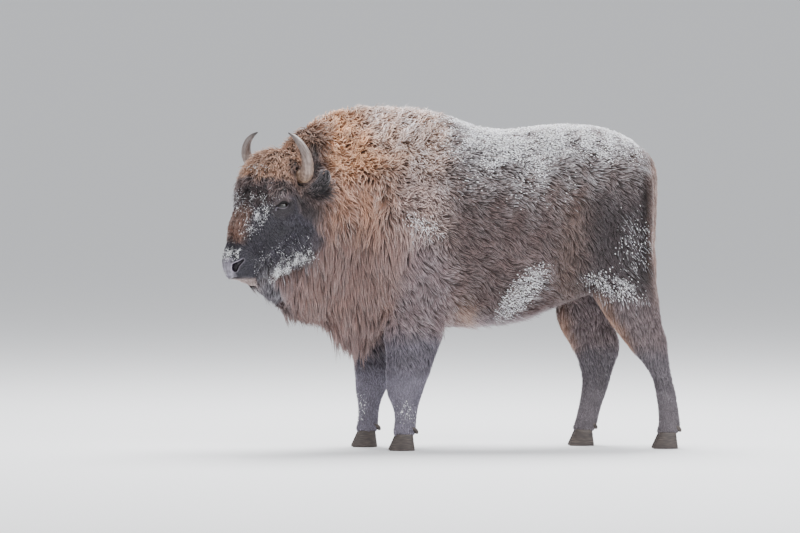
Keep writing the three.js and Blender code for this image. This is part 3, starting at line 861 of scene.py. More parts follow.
# Forms raised out of the head, or sunk where the amount is below 0: middle, radii, way (all in u, v, w) and amount.
SKULL_FORMS = (
    ((190, 160, 8), (75, 60, 62), (0.1, 0.93, 0.3), 11),
    ((150, 150, 56), (60, 50, 50), (0.0, 0.6, 0.8), 7),
    ((110, 176, -10), (60, 50, 50), (0, 1, 0), -7),
    ((330, 116, 2), (130, 46, 34), (0, 0.9, 0.4), 6),
    ((420, 100, -60), (110, 60, 60), (0, 1, 0), -9),
    ((260, 140, -110), (110, 60, 80), (0, 1, 0), 7),
    ((430, 76, 34), (110, 34, 40), (0, 0.7, 0.7), -6),
    ((490, 0, 60), (100, 90, 56), (0, 0, 1), -17),
    ((566, 74, -30), (50, 40, 44), (0.2, 1, 0.1), 8),
)
CHIN_FORMS = (
    ((600, 40, -86), (46, 52, 34), (0.7, 0.4, -0.3), 7),
    ((604, 0, -96), (50, 50, 44), (0.8, 0, -0.4), 6),
)


def tear_duct(x, y, end, width):
    """1 along the line that runs down from the inner corner of an eye, 0 beyond its end."""
    a, b = -(0.75 * (x + LID_HALF) + 0.65 * y), 0.65 * (x + LID_HALF) - 0.75 * y
    return ramp(a, -3, 3) * ramp(a, *end) * np.exp(-(b / width) ** 2)


def sculpt_head(co, place):
    """Orbits, lids, cheeks, nostrils, nose pad and mouth."""
    head = np.clip(place.part("head") * 1.5, 0, 1)
    p = head_local(co)
    side = place.head_side
    mirrored = p * np.stack([np.ones_like(side), side, np.ones_like(side)], 1)

    def lift(forms):
        for middle, radii, way, amount in forms:
            way = np.array(way, float) / np.linalg.norm(way)
            step = (amount * blob(mirrored, middle, radii) * head)[:, None] * way
            step[:, 1] *= side
            p[:] += step

    lift(SKULL_FORMS)
    fill = 13 * np.exp(-(near_line(p, CREASE) / 38) ** 2) * head * ramp(p[:, 0], 545, 500)
    p[:, 1] += fill * side
    lift(CHIN_FORMS)

    eye_now = [(s, eye_place(p, s)) for s, _ in SIDES]
    for s, (edge, x, y, c) in eye_now:
        middle, out, along, up = eye_frame(s)
        flat = np.hypot(x, y)
        near = (side == s) & (c > -30) & (flat < 60) & (head > 0.5)
        snap = near & (np.abs(edge) < 1.3) & (np.abs(x) < LID_HALF)
        y_new = np.where(snap, y - edge * np.sign(y), y)
        edge = np.where(snap, 0.0, edge)
        lid = np.sqrt(np.maximum((EYE_RADIUS + 3.0) ** 2 - x ** 2 - y_new ** 2, 30.0))
        inner = np.sqrt(np.maximum((EYE_RADIUS - 4.0) ** 2 - x ** 2 - y_new ** 2, 0.0)) - 3.0
        crease = (-2.6 * np.exp(-((edge - 8.5) / 2.4) ** 2) * (y > 0)
                  - 1.6 * np.exp(-((edge - 7.5) / 2.2) ** 2) * (y <= 0))
        puff = 2.8 * np.exp(-((edge - 15) / 5.0) ** 2) * (y > 0)
        brim = 0.9 * np.exp(-((edge - 1.5) / 1.6) ** 2)
        c_new = mix(lid, c, ramp(edge, 6, 24)) + crease + puff + brim
        c_new = np.where(edge < 0, mix(lid, inner, ramp(-edge, 0.0, 1.8)), c_new)
        c_new = c_new - 3.5 * tear_duct(x, y, (24, 12), 3.5)
        moved = middle + x[:, None] * along + y_new[:, None] * up + c_new[:, None] * out
        p[near] = moved[near]

    front = ramp(p[:, 0], 500, 570) * head
    p[:, 1] *= 1 - 0.20 * front
    p[:, 2] -= 8 * front
    p[:, 0] -= 7 * ramp(p[:, 0], 560, 620) * head
    below = ramp(before_mouth(p), 4, -26) * ramp(p[:, 0], 520, 566) * ramp(p[:, 2], -215, -170) * head
    p[:, 1] *= 1 - 0.36 * below
    p[:, 2] -= 24 * below
    p[:, 0] -= (13 + 0.45 * np.maximum(p[:, 0] - 575, 0)) * below
    flat = p.copy()
    d, r = near_line(p, NOSTRIL, True)
    inward = -np.array([0.48, 0.66, 0.58]) / np.linalg.norm([0.48, 0.66, 0.58])
    sink = 30 * (1 - ramp(d / r, 0.45, 1.05)) * (r / 14) ** 0.6
    rim = 4.5 * np.exp(-((d - r - 4.0) / 4.0) ** 2) * (0.5 + 0.5 * r / 14)
    rim = rim * (0.35 + 0.65 * ramp(p[:, 2] - 0.6 * (np.abs(p[:, 1]) - 50), -22, 6))
    step = ((sink - rim) * head * (p[:, 0] > 500))[:, None] * inward
    step[:, 1] *= side
    p += step
    mouth = near_line(p, MOUTH)
    groove = 7.0 * np.exp(-(mouth / 3.6) ** 2) * head * (p[:, 0] > 530)
    normal = place.normals @ np.stack([U, V, W], 1)
    p -= groove[:, None] * normal
    lips = 3.0 * np.exp(-((mouth - 9) / 5.0) ** 2) * head * (p[:, 0] > 530)
    p += lips[:, None] * normal
    philtrum = 3.0 * np.exp(-(p[:, 1] / 3.5) ** 2) * ramp(p[:, 0], 584, 604) * (p[:, 2] > -52) * (p[:, 2] < 22)
    p -= philtrum[:, None] * np.array([0.8, 0, 0.6])
    return from_head(p), flat


def sculpt_body(co, normals, place):
    """The hollows and folds that show through the coat: flank, stifle, shoulder blade, and beside the tail."""
    p = np.stack([place.x, np.abs(place.y), place.z], 1)
    body = np.clip(place.part("trunk", "neck", *HINDLEGS, *FORELEGS), 0, 1)
    out = np.zeros(len(co))
    for middle, radii, amount in (
        ((560, 290, 1330), (150, 150, 190), -16),
        ((520, 270, 900), (90, 120, 200), -14),
        ((720, 260, 900), (150, 150, 200), 10),
        ((760, 240, 1420), (90, 90, 80), 9),
        ((-120, 320, 1250), (120, 120, 320), 12),
        ((30, 320, 1150), (80, 120, 330), -10),
        ((300, 330, 1000), (260, 150, 240), 8),
        ((950, 200, 1000), (70, 120, 260), 8),
    ):
        out += amount * blob(p, middle, radii)
    side = np.abs(place.y)
    beside_tail = ramp(place.x, 860, 930) * ramp(place.x, 1005, 975) * ramp(side, 30, 62) * ramp(side, 150, 90)
    out -= 16 * beside_tail * ramp(place.z, 1480, 1380) * ramp(place.z, 780, 900) * (1 - place.part("tail"))
    return co + normals * (out * body * MM)[:, None]


# ---------------------------------------------------------------- tufts
class Faces:
    """The skin's triangles with what a tuft needs to know at its root."""

    def __init__(self, skin, place):
        me = skin.data
        me.calc_loop_triangles()
        self.tri = read(me.loop_triangles, "vertices", np.int32, 3)
        loops = read(me.loop_triangles, "loops", np.int32, 3)
        co = place.points
        self.corner = co[self.tri]
        cross = np.cross(self.corner[:, 1] - self.corner[:, 0], self.corner[:, 2] - self.corner[:, 0])
        self.area = np.linalg.norm(cross, axis=1) / 2
        self.flat_normal = unit(cross)
        self.uv = read(me.uv_layers["OFBake"].data, "uv", width=2)[loops]
        self.tree = BVHTree.FromPolygons([Vector(p) for p in co], self.tri.tolist())

    def mean(self, values):
        return values[self.tri].mean(1)

    def sow(self, density):
        """Roots spread evenly by area and density: their triangles, places and places on the unwrapped skin."""
        share = np.cumsum(self.area * density)
        count = int(share[-1])
        at = (np.arange(count) + RNG.random(count)) * (share[-1] / count)
        index = np.minimum(np.searchsorted(share, at), len(self.area) - 1)
        a, b = RNG.random(count), RNG.random(count)
        flip = a + b > 1
        a, b = np.where(flip, 1 - a, a), np.where(flip, 1 - b, b)
        weight = np.stack([1 - a - b, a, b], 1)[..., None]
        return index, (self.corner[index] * weight).sum(1), (self.uv[index] * weight).sum(1)


def unwrap(skin):
    skin.data.uv_layers.new(name="OFBake")
    bpy.context.view_layer.objects.active = skin
    for other in bpy.context.selected_objects:
        other.select_set(False)
    skin.select_set(True)
    bpy.ops.object.mode_set(mode="EDIT")
    bpy.ops.mesh.select_all(action="SELECT")
    bpy.ops.uv.smart_project(angle_limit=1.15, island_margin=0.004)
    bpy.ops.object.mode_set(mode="OBJECT")
    skin.select_set(False)


def nearest(tree, points):
    """The nearest places on the skin, and the triangles that they are in."""
    found = [tree.find_nearest(p) for p in points.tolist()]
    return np.array([spot for spot, _, _, _ in found]), np.array([at for _, _, at, _ in found])


def grow(tree, face_lie, face_normal, roots, index, length, height, hang, steps):
    """Centre lines of tufts that follow the lie of the coat, each `height` above the skin at its end."""
    count = len(roots)
    line = np.empty((count, steps + 1, 3))
    normal = np.empty((count, steps + 1, 3))
    normal[:, 0] = face_normal[index]
    line[:, 0] = roots - 0.003 * normal[:, 0]
    at = index
    step = (length / steps)[:, None]
    now = roots.copy()
    sink = np.clip(hang, 0, 1)[:, None]
    for k in range(1, steps + 1):
        way = unit(face_lie[at] * (1 - sink) + sink * DOWN)
        now = now + step * way
        spot, at = nearest(tree, now)
        m = face_normal[at]
        above = ((now - spot) * m).sum(1)
        wanted = height * (k / steps) ** 0.7
        loose = hang > 0.3
        fixed = np.where(loose, np.maximum(above, wanted), wanted)
        now = np.where(loose[:, None], now + m * (fixed - above)[:, None], spot + m * fixed[:, None])
        line[:, k] = now
        normal[:, k] = m
        now = np.where(loose[:, None], now, spot)
    return line, normal


def clumped(line, share):
    """Tufts drawn towards the line of a near one, so that the coat breaks into locks."""
    count, rings, _ = line.shape
    rng = np.random.default_rng(31)
    leaders = rng.permutation(count)[: max(count // TUFTS_TO_A_LOCK, 1)]
    tree = KDTree(len(leaders))
    for k, i in enumerate(leaders):
        tree.insert(line[i, 0], k)
    tree.balance()
    mine = np.array([leaders[tree.find(p)[1]] for p in line[:, 0].tolist()])
    t = np.linspace(0, 1, rings) ** 1.4
    pull = share[:, None] * t[None]
    return line + (line[mine] - line) * pull[..., None]


def cross_axes(line, normal):
    """The two directions across centre lines at each of their points: sideways and up."""
    along = unit(np.gradient(line, axis=1))
    side = unit(np.cross(along, normal))
    return side, np.cross(side, along)


def tuft_mesh(name, line, normal, width, thick, colour, tip, frost, root_uv, slot_name, matter):
    """Closed three-sided tufts, each a taper round its centre line, as one mesh."""
    count, rings, _ = line.shape
    steps = rings - 1
    side, up = cross_axes(line, normal)
    t = np.linspace(0, 1, rings)[:-1]
    body = np.where(t < 0.01, 0.75, np.interp(t, [0, 0.35, 0.7, 1.0], [0.8, 1.0, 0.72, 0.0]))
    angles = np.radians([90, 210, 330])
    ring = (line[:, :-1, None, :]
            + side[:, :-1, None, :] * (0.5 * width[:, None, None] * body[None, :, None] * np.cos(angles))[..., None]
            + up[:, :-1, None, :] * (0.5 * thick[:, None, None] * body[None, :, None] * np.sin(angles))[..., None])
    per = 3 * steps + 1
    verts = np.concatenate([ring.reshape(count, 3 * steps, 3), line[:, -1:, :]], 1).reshape(-1, 3)
    edges = [(3 * k + j, 3 * k + (j + 1) % 3) for k in range(steps) for j in range(3)]
    quads = [(a, b, b + 3, a + 3) for a, b in edges[:-3]]
    tris = [(0, 2, 1)] + [(a, b, 3 * steps) for a, b in edges[-3:]]
    pattern = np.concatenate([np.array(quads, int).ravel(), np.array(tris, int).ravel()])
    sizes = np.tile([4] * len(quads) + [3] * len(tris), count)
    corners = (np.arange(count)[:, None] * per + pattern[None]).ravel()
    obj = make_mesh(name, verts, corners, sizes)
    level = np.concatenate([np.repeat(t, 3), [1.0]])
    dark = np.interp(level, [0, 0.3, 0.75, 1], [0.42, 0.78, 1.0, 1.06])
    rgb = mix(colour[:, None], tip[:, None], ramp(level, 0.45, 1.0)[None, :, None]) * dark[None, :, None]
    rgb = mix(rgb, SNOW, (frost[:, None] * ramp(level, 0.35, 0.9)[None])[..., None])
    rgba = np.concatenate([rgb, np.broadcast_to(level[None, :, None], (count, per, 1))], 2)
    colour_layer(obj.data, "coat", rgba.reshape(-1, 4))
    across = np.concatenate([np.tile([-0.5, 0.0, 0.5], steps), [0.0]])
    patch = 0.003 * np.stack([across, level - 0.5], 1)
    uv = (root_uv[:, None, :] + patch[None]).reshape(-1, 2)
    layer = obj.data.uv_layers.new(name="OFBake")
    layer.data.foreach_set("uv", uv[corners].astype(np.float32).ravel())
    finish_piece(obj, slot_name, matter)


PIECES = {
    "coat_back": ("coat", ("back",)),
    "coat_flank": ("coat", ("body", "belly", "band")),
    "coat_haunch": ("coat", ("haunch", "groove", "rump")),
    "coat_thigh": ("coat", ("thigh", "fringe", "hock", "shank")),
    "coat_hump": ("mane", ("hump", "crest")),
    "coat_shoulder": ("mane", ("shoulder", "flank", "elbow")),
    "coat_neck": ("mane", ("neck",)),
    "coat_mane": ("mane", ("mane", "throat")),
    "coat_legs": ("coat", ("arm", "shin")),
    "coat_tail": ("coat", ("tail", "brush")),
    "coat_forehead": ("face", ("forehead", "poll", "brow", "forelock", "ruff", "horn_hair")),
    "coat_face": ("face", ("face", "nose", "muzzle", "chin", "pad", "orbit")),
    "coat_cheek": ("face", ("cheek",)),
    "coat_beard": ("mane", ("beard", "jaw")),
    "coat_ears": ("face", ("ear", "ear_cup", "ear_edge")),
}
KINDS = {2: "short", 3: "long", 4: "curl"}
FEWEST_TUFTS = 30
TUFTS_TO_A_LOCK = 9
COAT_GAIN = 1.25
SNOW = linear(247, 248, 252)


def dress(faces, place, links):
    """The coat: tufts sown over the skin, each shaped and coloured by the regions at its root."""
    vertex_shares = relax(region_shares(place), links, 2, 0.5)
    vertex_shares = relax(vertex_shares, links, 7, 0.5, 1 - 0.95 * place.part("head", *EARS))
    lie = tangent(lie_of_coat(place, vertex_shares), place.normals)
    lie = relax(lie, links, 4, 0.5)
    lie = tangent(lie, place.normals)
    side = np.cross(place.normals, lie)
    wave = blended(vertex_shares, "wave")
    bend = wave * (0.55 * waves(place.points, 0.05, 11) + 0.45 * waves(place.points, 0.13, 12))
    lie = unit(lie + side * bend[:, None])
    face_lie = unit(faces.mean(lie))
    face_normal = unit(faces.mean(place.normals))
    face_shares = faces.mean(vertex_shares)
    eye = faces.mean(near_eyes(place.local))
    density = blended(face_shares, "density")
    density = density * (1 - faces.mean(bare_mask(place))) * (eye > 1.0)
    index, roots, root_uv = faces.sow(density)
    shares = face_shares[index]
    count = len(index)
    near = np.clip(ramp(eye[index], 0, 40), 0.25, 1)
    stray = RNG.random(count) < 0.08
    short = 1 - 0.34 * ramp(roots[:, 0], -0.56, -0.68) * ramp(roots[:, 2], 0.82, 0.70)

    def drawn(key, low, high, scale=1.0):
        return blended(shares, key) * scale * RNG.uniform(low, high, count)

    length = drawn("length", 0.75, 1.2, MM) * near * short * np.where(stray, 1.4, 1)
    depth = drawn("depth", 0.45, 1.12, MM) * near * np.where(stray, 1.45, 1)
    width = drawn("width", 0.7, 1.3, MM) * near * np.where(stray, 0.6, 1)
    curl = drawn("curl", 0.4, 1.3, MM)
    hang = drawn("hang", 0.8, 1.15)
    clump = drawn("clump", 0.6, 1.2)
    shade = np.exp(0.16 * RNG.normal(size=count) + 0.14 * waves(roots, 0.035, 21) + 0.10 * waves(roots, 0.16, 22))
    colour = COAT_GAIN * blended(shares, "colour") * shade[:, None]
    tip = COAT_GAIN * blended(shares, "tip") * shade[:, None]
    frost = frosting(roots, face_normal[index], shares)
    group = np.argmax(shares, 1)
    steps_of = np.where(curl > 0.0045, 4, np.where(length > 0.085, 3, 2))
    hairs = {key: coat_material(key, 0.72, 0.12) for key in ("coat", "mane", "face")}
    for name, (slot_name, members) in PIECES.items():
        mine = np.isin(group, [NAMES.index(m) for m in members])
        for steps in KINDS:
            pick = np.flatnonzero(mine & (steps_of == steps))
            if len(pick) < FEWEST_TUFTS:
                continue
            line, normal = grow(faces.tree, face_lie, face_normal, roots[pick], index[pick], length[pick],
                                depth[pick], hang[pick], steps)
            line = clumped(line, np.clip(clump[pick], 0, 0.85))
            if steps == 4:
                line = curled(line, normal, curl[pick])
            piece = f"{name}_{KINDS[steps]}"
            tuft_mesh(piece, line, normal, width[pick], width[pick] * 0.62, colour[pick], tip[pick], frost[pick],
                      root_uv[pick], slot_name, hairs[slot_name])


def curled(line, normal, size):
    """Turns added to the centre lines, wider towards the end."""
    count, rings, _ = line.shape
    side, up = cross_axes(line, normal)
    t = np.linspace(0, 1, rings)[None]
    start = RNG.uniform(0, 2 * math.pi, count)[:, None]
    turn = RNG.uniform(4.5, 8.0, count)[:, None] * np.where(RNG.random(count) < 0.5, 1, -1)[:, None]
    angle = start + turn * t
    reach = size[:, None] * np.sqrt(t)
    return line + side * (reach * np.cos(angle))[..., None] + up * (reach * (np.sin(angle) * 0.6 + 0.2))[..., None]


SNOW_PATCHES = (  # amount, middle, reach along and across, turn in degrees, on the side of the body
    (0.8, (330, 815), 210, 85, 50), (0.5, (800, 830), 200, 80, -22), (0.42, (-180, 1150), 60, 110, 70),
    (0.2, (900, 1050), 120, 200, 0), (0.3, (-452, 210), 90, 46, 90), (0.3, (-250, 190), 80, 60, 90),
)
RIDGE_PATCHES = ((0.27, (345, 44), (120, 50)), (0.2, (250, 70), (130, 60)), (0.2, (60, 135), (40, 40)))
JAW_STEPS = 14


def snow_field(points, normals):
    """Where snow clings: thick on the back, in patches on the sides of the body, and in specks on the face."""
    x, y, z = ((points - CENTRE) / MM).T
    p = np.stack([x, z], 1)
    grain = 0.5 + 0.5 * waves(points, 0.022, 71)
    patchy = 0.5 + 0.5 * waves(points, 0.09, 72)
    top = ramp(normals[:, 2], 0.2, 0.75) * ramp(z, 1380, 1540) * ramp(x, -160, 160) * (1 - 0.8 * ramp(x, 905, 985))
    top = top * (1 - 0.65 * ramp(normals[:, 2], 0.88, 0.99) * ramp(waves(points, 0.05, 74), -0.3, 0.5))
    streak = ramp(waves(points * (0.35, 1, 1), 0.018, 75), -0.4, 0.3)
    flanks = ramp(z, 1180, 1450) * ramp(x, -60, 120) * ramp(x, 640, 520)
    top = top * (0.3 + 0.9 * streak) * (0.95 + 0.6 * patchy) + 0.5 * flanks * patchy
    top = top + 0.12 * ramp(normals[:, 2], 0.1, 0.8) * ramp(z, 1560, 1680) * ramp(x, -480, -330)

    def patch(middle, along, across, turn):
        d = p - np.array(middle)
        c, s = math.cos(math.radians(turn)), math.sin(math.radians(turn))
        a, b = (d[:, 0] * c + d[:, 1] * s) / along, (-d[:, 0] * s + d[:, 1] * c) / across
        return (1 - ramp(np.sqrt(a * a + b * b), 0.45, 1.1)) * (np.abs(y) > 60)

    sides = sum(amount * patch(*where) for amount, *where in SNOW_PATCHES)
    u, v, w = head_local(points).T
    h = np.stack([u, w], 1)
    on_head_part = (u > 60) & (u < 640) & (w > -350)

    def face_patch(middle, radii):
        d = np.sqrt((((h - np.array(middle)) / np.array(radii)) ** 2).sum(1))
        return 1 - ramp(d, 0.2, 1.1)

    jaw_line = 0.0
    for t in np.arange(JAW_STEPS) / (JAW_STEPS - 1):
        jaw_line = np.maximum(jaw_line, (1.15 - 0.35 * t) * face_patch((522 - 235 * t, -200 - 108 * t), (54, 40)))
        jaw_line = np.maximum(jaw_line, 0.13 * face_patch((490 - 225 * t, -110 - 150 * t), (70, 90)))
    ridge = sum(amount * face_patch(*where) for amount, *where in RIDGE_PATCHES)
    broken = 0.15 + 0.6 * ramp(waves(points, 0.006, 73), -0.5, 0.5)
    nose_top = face_patch((522, 26), (48, 34)) * (np.abs(v) < 62) * broken
    jaw_line = jaw_line * (0.3 + 0.7 * ramp(waves(points, 0.013, 76), -0.5, 0.4))
    face = (jaw_line * (np.abs(v) > 40) + ridge + nose_top) * on_head_part
    total = top * (0.5 + 0.8 * grain) + (sides + face) * (0.25 + 1.1 * grain)
    return np.clip(total, 0, 1)


def frosting(points, normals, shares):
    """Frost on the ends of tufts, more where the coat faces up, and white where snow clings."""
    base = blended(shares, "frost")
    patch = 0.5 + 0.5 * waves(points, 0.06, 51)
    amount = base * (0.35 + 1.1 * patch) * (0.55 + 0.9 * ramp(normals[:, 2], -0.1, 0.9))
    amount = np.clip(amount * RNG.uniform(0.2, 1.6, len(points)), 0, 0.95)
    snow = snow_field(points, normals)
    on_head_part = ramp(np.linalg.norm(points - HEAD_AT - 0.3 * U, axis=1), 0.48, 0.40)
    long_hair = shares[:, [NAMES.index(name) for name in ("beard", "throat", "mane", "neck")]].sum(1)
    snow = snow * (1 - 0.95 * long_hair)
    caught = RNG.random(len(points)) < snow * (0.92 - 0.62 * on_head_part)
    return np.where(caught, RNG.uniform(0.75, 1.0, len(points)), amount)


def paint_skin(skin, place, links):
    """The colour of the hide and of the bare skin, with painted shade and painted highlight round the nostrils,
    painted shade in the mouth line and under the upper lids, and a painted sheen in the tear streaks; and the layer
    that tells hide from bare skin.
    """
    shares = relax(region_shares(place), links, 1, 0.5)
    rgb = blended(shares, "colour") * (0.62 + 0.1 * waves(place.points, 0.03, 61))[:, None]
    pad = pad_mask(place) * place.part("head")
    rgb = mix(rgb, linear(110, 105, 117) * (1 + 0.34 * waves(place.points, 0.016, 62))[:, None], pad)
    d, r = near_line(place.flat, NOSTRIL, True)
    # The upper side of each nostril's rim, taken as lit: painted highlight there, painted shade on the rest of the
    # rim.
    painted_lit_side = ramp(place.flat[:, 2] - 0.6 * (np.abs(place.flat[:, 1]) - 50), -22, 6)
    muzzle = (place.u > 480) * place.part("head")
    # painted shade: the nose pad made darker towards its side where v is below 0
    rgb = rgb * (1 - 0.3 * pad * ramp(place.flat[:, 1], 5, -45))[:, None]
    for tone, mask in (
        # painted shade on the lower, unlit side of the nostril's rim
        ((64, 59, 67), (1 - ramp(d - r, 1, 9)) * muzzle * (1 - painted_lit_side)),
        # painted highlight where the upper rim of the nostril catches the sky
        ((150, 143, 157), (1 - ramp(d - r, 2, 7)) * muzzle * painted_lit_side * 0.7),
        # painted shade inside the sunken hollow of the nostril
        ((40, 33, 43), (1 - ramp(d / r, 0.90, 1.10)) * muzzle),
        # painted shade along the sculpted groove of the mouth
        ((50, 43, 47), (1 - ramp(near_line(place.flat, MOUTH), 2, 6)) * (place.u > 520)),
    ):
        rgb = mix(rgb, linear(*tone), mask)
    for side, _ in SIDES:
        edge, x, y, c = eye_place(place.local, side)
        here = (c > -20) & (place.local[:, 1] * side > 60)
        for tone, mask in (
            ((42, 38, 41), 1 - ramp(edge, 22, 52)),
            ((76, 65, 64), ramp(edge, 8, 14) * (1 - ramp(edge, 24, 46)) * ramp(y, 6, 18)),
            # dark lid margin: the margin itself is dark skin, and the extra dark along the upper lid is painted
            # shadow of the lid and its lashes
            ((24, 21, 23), (1 - ramp(edge, 4.5, 11)) * (0.35 + 0.65 * (y > 0))),
            ((112, 105, 114), np.exp(-((edge - 1.6) / 1.6) ** 2) * (y < 1)),
            # the wet streak down from the inner corner: the streak is real, its light grey is a painted sheen
            ((156, 150, 162), 0.9 * tear_duct(x, y, (26, 16), 3.0)),
        ):
            rgb = mix(rgb, linear(*tone), mask * here)
    colour_layer(skin.data, "coat", np.concatenate([np.clip(rgb, 0, 1), np.ones((len(rgb), 1))], 1))
    value_layer(skin.data, "bare", bare_mask(place))


# ---------------------------------------------------------------- horns, hooves and eyes
def lathe(name, rings, slot_name, matter, node):
    """A closed piece over a row of rings with equal counts of points, in the place of a node."""
    count, per = len(rings), len(rings[0])
    verts = np.concatenate([np.array(rings).reshape(-1, 3), [np.mean(rings[0], 0)], [np.mean(rings[-1], 0)]])
    i, j = np.meshgrid(np.arange(count - 1), np.arange(per), indexing="ij")
    nxt = (j + 1) % per
    quads = np.stack([i * per + j, i * per + nxt, (i + 1) * per + nxt, (i + 1) * per + j], -1).reshape(-1, 4)
    j = np.arange(per)
    start = np.stack([np.full(per, count * per), (j + 1) % per, j], 1)
    end = np.stack([np.full(per, count * per + 1), (count - 1) * per + j, (count - 1) * per + (j + 1) % per], 1)
    corners = np.concatenate([quads.ravel(), start.ravel(), end.ravel()])
    sizes = np.concatenate([np.full(len(quads), 4), np.full(2 * per, 3)])
    piece = make_mesh(name, verts, corners, sizes)
    bm = bmesh.new()
    bm.from_mesh(piece.data)
    bmesh.ops.recalc_face_normals(bm, faces=bm.faces)
    bm.to_mesh(piece.data)
    bm.free()
    smoothed(piece.data)
    finish_piece(piece, slot_name, matter, node)
    return piece.data


HORN_ROWS = [  # u, v, w and radius along the horn, from its root
    [-8, 96, -24, 34], [4, 134, -24, 35], [-6, 182, -16, 35], [-30, 222, 28, 30.5], [-62, 235, 78, 25.5],
    [-98, 208, 122, 19], [-124, 165, 146, 11.5], [-138, 122, 158, 3.0],
]
HORN_POINTS, CLAW_POINTS, EYE_POINTS = 56, 48, 64


def horns():
    """Sheaths with growth rings, and fine grooves along them."""
    matter = horn_material()
    for side, word in SIDES:
        path = smooth_rows(HORN_ROWS, 22) * (1, side, 1, 1)
        centre = from_head(path)
        tangent_at = unit(np.gradient(centre, axis=0))
        across = unit(np.cross(U, tangent_at))
        up = np.cross(tangent_at, across)
        t = np.linspace(0, 1, len(path))
        ring_zone = ramp(t, 0.16, 0.22) * ramp(t, 0.66, 0.40)
        ridges = 1 + ring_zone * (0.042 * np.sin(t * 118 + 2.2 * np.sin(t * 23)) + 0.016 * np.sin(t * 61))
        angle = np.linspace(0, 2 * math.pi, HORN_POINTS, endpoint=False)
        rings, marks = [], []
        for k in range(len(path)):
            grooves = 1 + 0.010 * np.sin(7 * angle + 3 * t[k]) + 0.006 * np.sin(13 * angle - 5 * t[k])
            r = path[k, 3] * MM * ridges[k] * grooves
            rings.append(centre[k] + (r * np.cos(angle))[:, None] * across[k] + (r * np.sin(angle))[:, None] * up[k])
            marks.append(np.stack([1.3 * np.cos(angle), 1.3 * np.sin(angle), np.full(HORN_POINTS, t[k])], 1))
        me = lathe(f"horn_{word}_sheath", rings, "horn", matter, f"horn_{word}")
        marks = np.concatenate(marks + [[(0, 0, 0.0), (0, 0, 1.0)]])
        value_layer(me, "along", marks[:, 2])
        colour_layer(me, "spin", np.concatenate([marks * (1, 1, 1.6), np.ones((len(marks), 1))], 1))


FEET = {  # x, y, and side: 1 left, -1 right
    "fore_left": (-262, 150, -1), "fore_right": (-422, 150, 1),
    "hind_left": (1082, 135, -1), "hind_right": (686, 135, 1),
}
CLAW_ROWS = [  # height, reach to the toe and to the heel, half width
    [0, 66, 57, 26.4], [3, 69, 58, 27.6], [10, 69, 58, 27.8], [38, 56, 54, 26], [71, 41, 50, 24], [84, 34, 44, 21],
]
DEWCLAW_ROWS = [  # place behind the foot's x, height, half width
    [26, 124, 14], [34, 120, 16], [52, 112, 16], [64, 97, 13], [68, 87, 8], [69, 84.5, 4],
]
CLAW_OFF, DEWCLAW_OFF = 30, 26


def hooves():
    """Two claws and two dewclaws on each foot."""
    matter = hoof_material()
    angle = np.linspace(0, 2 * math.pi, CLAW_POINTS, endpoint=False)
    c, s = np.cos(angle), np.sin(angle)
    across, sideways = (np.sign(a) * np.abs(a) ** 0.87 for a in (c, s))
    pinch = 1 - 0.24 * ramp(-across, 0.45, 1.0)

    def level(x, y, z):
        return np.stack([x, y, np.full(len(x), z)], 1) * MM + CENTRE

    for foot, (x, y, side) in FEET.items():
        for word, step in (("inner", -side), ("outer", side)):
            middle = y * side + step * CLAW_OFF
            between = np.where(sideways * step < 0, 0.90, 1.0)
            rings = []
            for z, toe, heel, half in smooth_rows(CLAW_ROWS, 7):
                ridge = 1 + 0.012 * math.sin(z * 0.9) * ramp(z, 4, 12) * ramp(z, 74, 60)
                reach = np.where(across < 0, toe, heel)
                rings.append(level(x + reach * across * ridge, middle + half * sideways * between * pinch * ridge, z))
            lathe(f"claw_{foot}_{word}", rings, "hoof", matter, f"hoof_{foot}_{word}")
            middle = y * side + step * DEWCLAW_OFF
            rings = [level(x + back + half * c[::3], middle + half * s[::3], z)
                     for back, z, half in smooth_rows(DEWCLAW_ROWS, 3)]
            lathe(f"spur_{foot}_{word}", rings, "hoof", matter, f"dewclaw_{foot}_{word}")


def eyes():
    """Eyeballs with a bulged cornea."""
    matter = eye_material()
    around = np.linspace(0, 2 * math.pi, EYE_POINTS, endpoint=False)
    wide = np.sqrt((np.cos(around) * 0.72) ** 2 + (np.sin(around) * 1.15) ** 2)
    for side, word in SIDES:
        middle, out, along, up = eye_frame(side)
        rings, marks = [], []
        for polar in np.linspace(0.02, math.pi - 0.02, 60):
            r = (EYE_RADIUS - 0.6) * (1 + 0.055 * (1 - ramp(polar, 0.15, 0.62)))
            flat = r * math.sin(polar)
            rings.append(from_head(middle + r * math.cos(polar) * out + (flat * np.cos(around))[:, None] * along
                                   + (flat * np.sin(around))[:, None] * up))
            marks.append(np.clip(polar * mix(wide, 1.0, ramp(polar, 0.20, 0.45)), 0, 1.0))
        me = lathe(f"eyeball_{word}", rings, "eye", matter, f"eye_{word}")
        value_layer(me, "rim", np.concatenate([np.concatenate(marks), [0.0, 1.0]]))


LASHES = 34


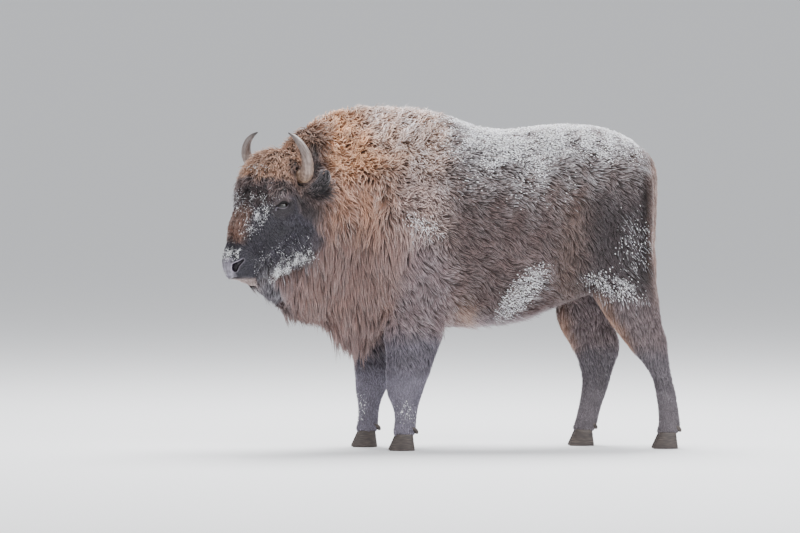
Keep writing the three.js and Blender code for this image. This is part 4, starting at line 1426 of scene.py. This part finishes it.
def lashes():
    """A row of short dark hairs along each upper lid."""
    lines, normals = [], []
    for side, _ in SIDES:
        middle, out, along, up = eye_frame(side)
        for k in range(LASHES):
            x = -20 + 43 * k / (LASHES - 1) + RNG.uniform(-0.6, 0.6)
            y = LID_UP * (1 - (x / LID_HALF) ** 2) + 0.8
            c = math.sqrt((EYE_RADIUS + 2.4) ** 2 - x * x - y * y)
            long = RNG.uniform(8, 13)
            points = []
            for t in (0, 0.5, 1.0):
                q = middle + (x + 3.0 * t * x / 20) * along + (y + 0.15 * long * t * t) * up
                q = q + (c + long * (0.8 * t - 0.35 * t * t)) * out - 0.16 * long * t * (1 - t) * up
                points.append(on_head(*q))
            lines.append(points)
            normals.append([up @ np.stack([U, V, W])] * 3)
    n = len(lines)
    dark = np.tile(linear(24, 20, 21), (n, 1))
    uv = np.tile([0.5, 0.5], (n, 1)) + RNG.uniform(-0.3, 0.3, (n, 2))
    tuft_mesh("lashes", np.array(lines), np.array(normals), np.full(n, 0.0014), np.full(n, 0.0012), dark, dark,
              np.zeros(n), uv, "face", coat_material("lash", 0.6, 0.0))


# ---------------------------------------------------------------- snow
MOST_CRUMBS = 24400
CRUMBS_PER_AREA = 46000


def snow_crumbs(faces, place):
    """Small lumps of snow caught in the ends of the coat."""
    field = snow_field(place.points, place.normals) * (1 - 0.9 * place.part(*EARS))
    shares = region_shares(place)
    depth = blended(shares, "depth")
    density = faces.mean(field ** 1.5) * CRUMBS_PER_AREA * (faces.mean(near_eyes(place.local)) > 22)
    small = faces.mean(place.part("head"))
    density = density * (1 + 4.0 * small)
    density = density * min(1.0, MOST_CRUMBS / (faces.area * density).sum())
    index, roots, _ = faces.sow(density)
    normal = unit(faces.mean(place.normals))[index]
    count = len(index)
    size = MM * RNG.uniform(0.9, 2.7, count) ** 1.1 * (1 - 0.38 * small[index])
    lift = faces.mean(depth)[index] * MM * RNG.uniform(0.6, 1.05, count)
    middle = roots + normal * lift[:, None]
    ball = np.array([(1, 0, 0), (-1, 0, 0), (0, 1, 0), (0, -1, 0), (0, 0, 1), (0, 0, -1)], float)
    tri = np.array([(0, 2, 4), (2, 1, 4), (1, 3, 4), (3, 0, 4), (2, 0, 5), (1, 2, 5), (3, 1, 5), (0, 3, 5)])
    along = unit(faces.mean(tangent(lie_of_coat(place, shares), place.normals)))[index]
    across = np.cross(normal, along)
    shape = ball[None] * RNG.uniform(0.7, 1.3, (count, len(ball), 1)) * size[:, None, None]
    shape = shape * np.stack([RNG.uniform(*ends, count) for ends in ((1.0, 2.6), (0.7, 1.2), (0.6, 1.1))], 1)[:, None]
    shape = shape[..., :1] * along[:, None] + shape[..., 1:2] * across[:, None] + shape[..., 2:] * normal[:, None]
    verts = (middle[:, None, :] + shape).reshape(-1, 3)
    corners = (np.arange(count)[:, None, None] * len(ball) + tri[None]).ravel()
    piece = make_mesh("snow_crumbs", verts, corners, np.full(count * len(tri), 3))
    finish_piece(piece, "snow", snow_material())


camera()
studio()
SKIN, FLESH_TREE, FLESH_ZONE = build_skin()
PLACE, LINKS = sculpt_skin(SKIN, FLESH_TREE, FLESH_ZONE)
paint_skin(SKIN, PLACE, LINKS)
finish_piece(SKIN, "coat", skin_material(), *FLESH)
unwrap(SKIN)
horns()
hooves()
eyes()
lashes()
FACES = Faces(SKIN, PLACE)
dress(FACES, PLACE, LINKS)
snow_crumbs(FACES, PLACE)
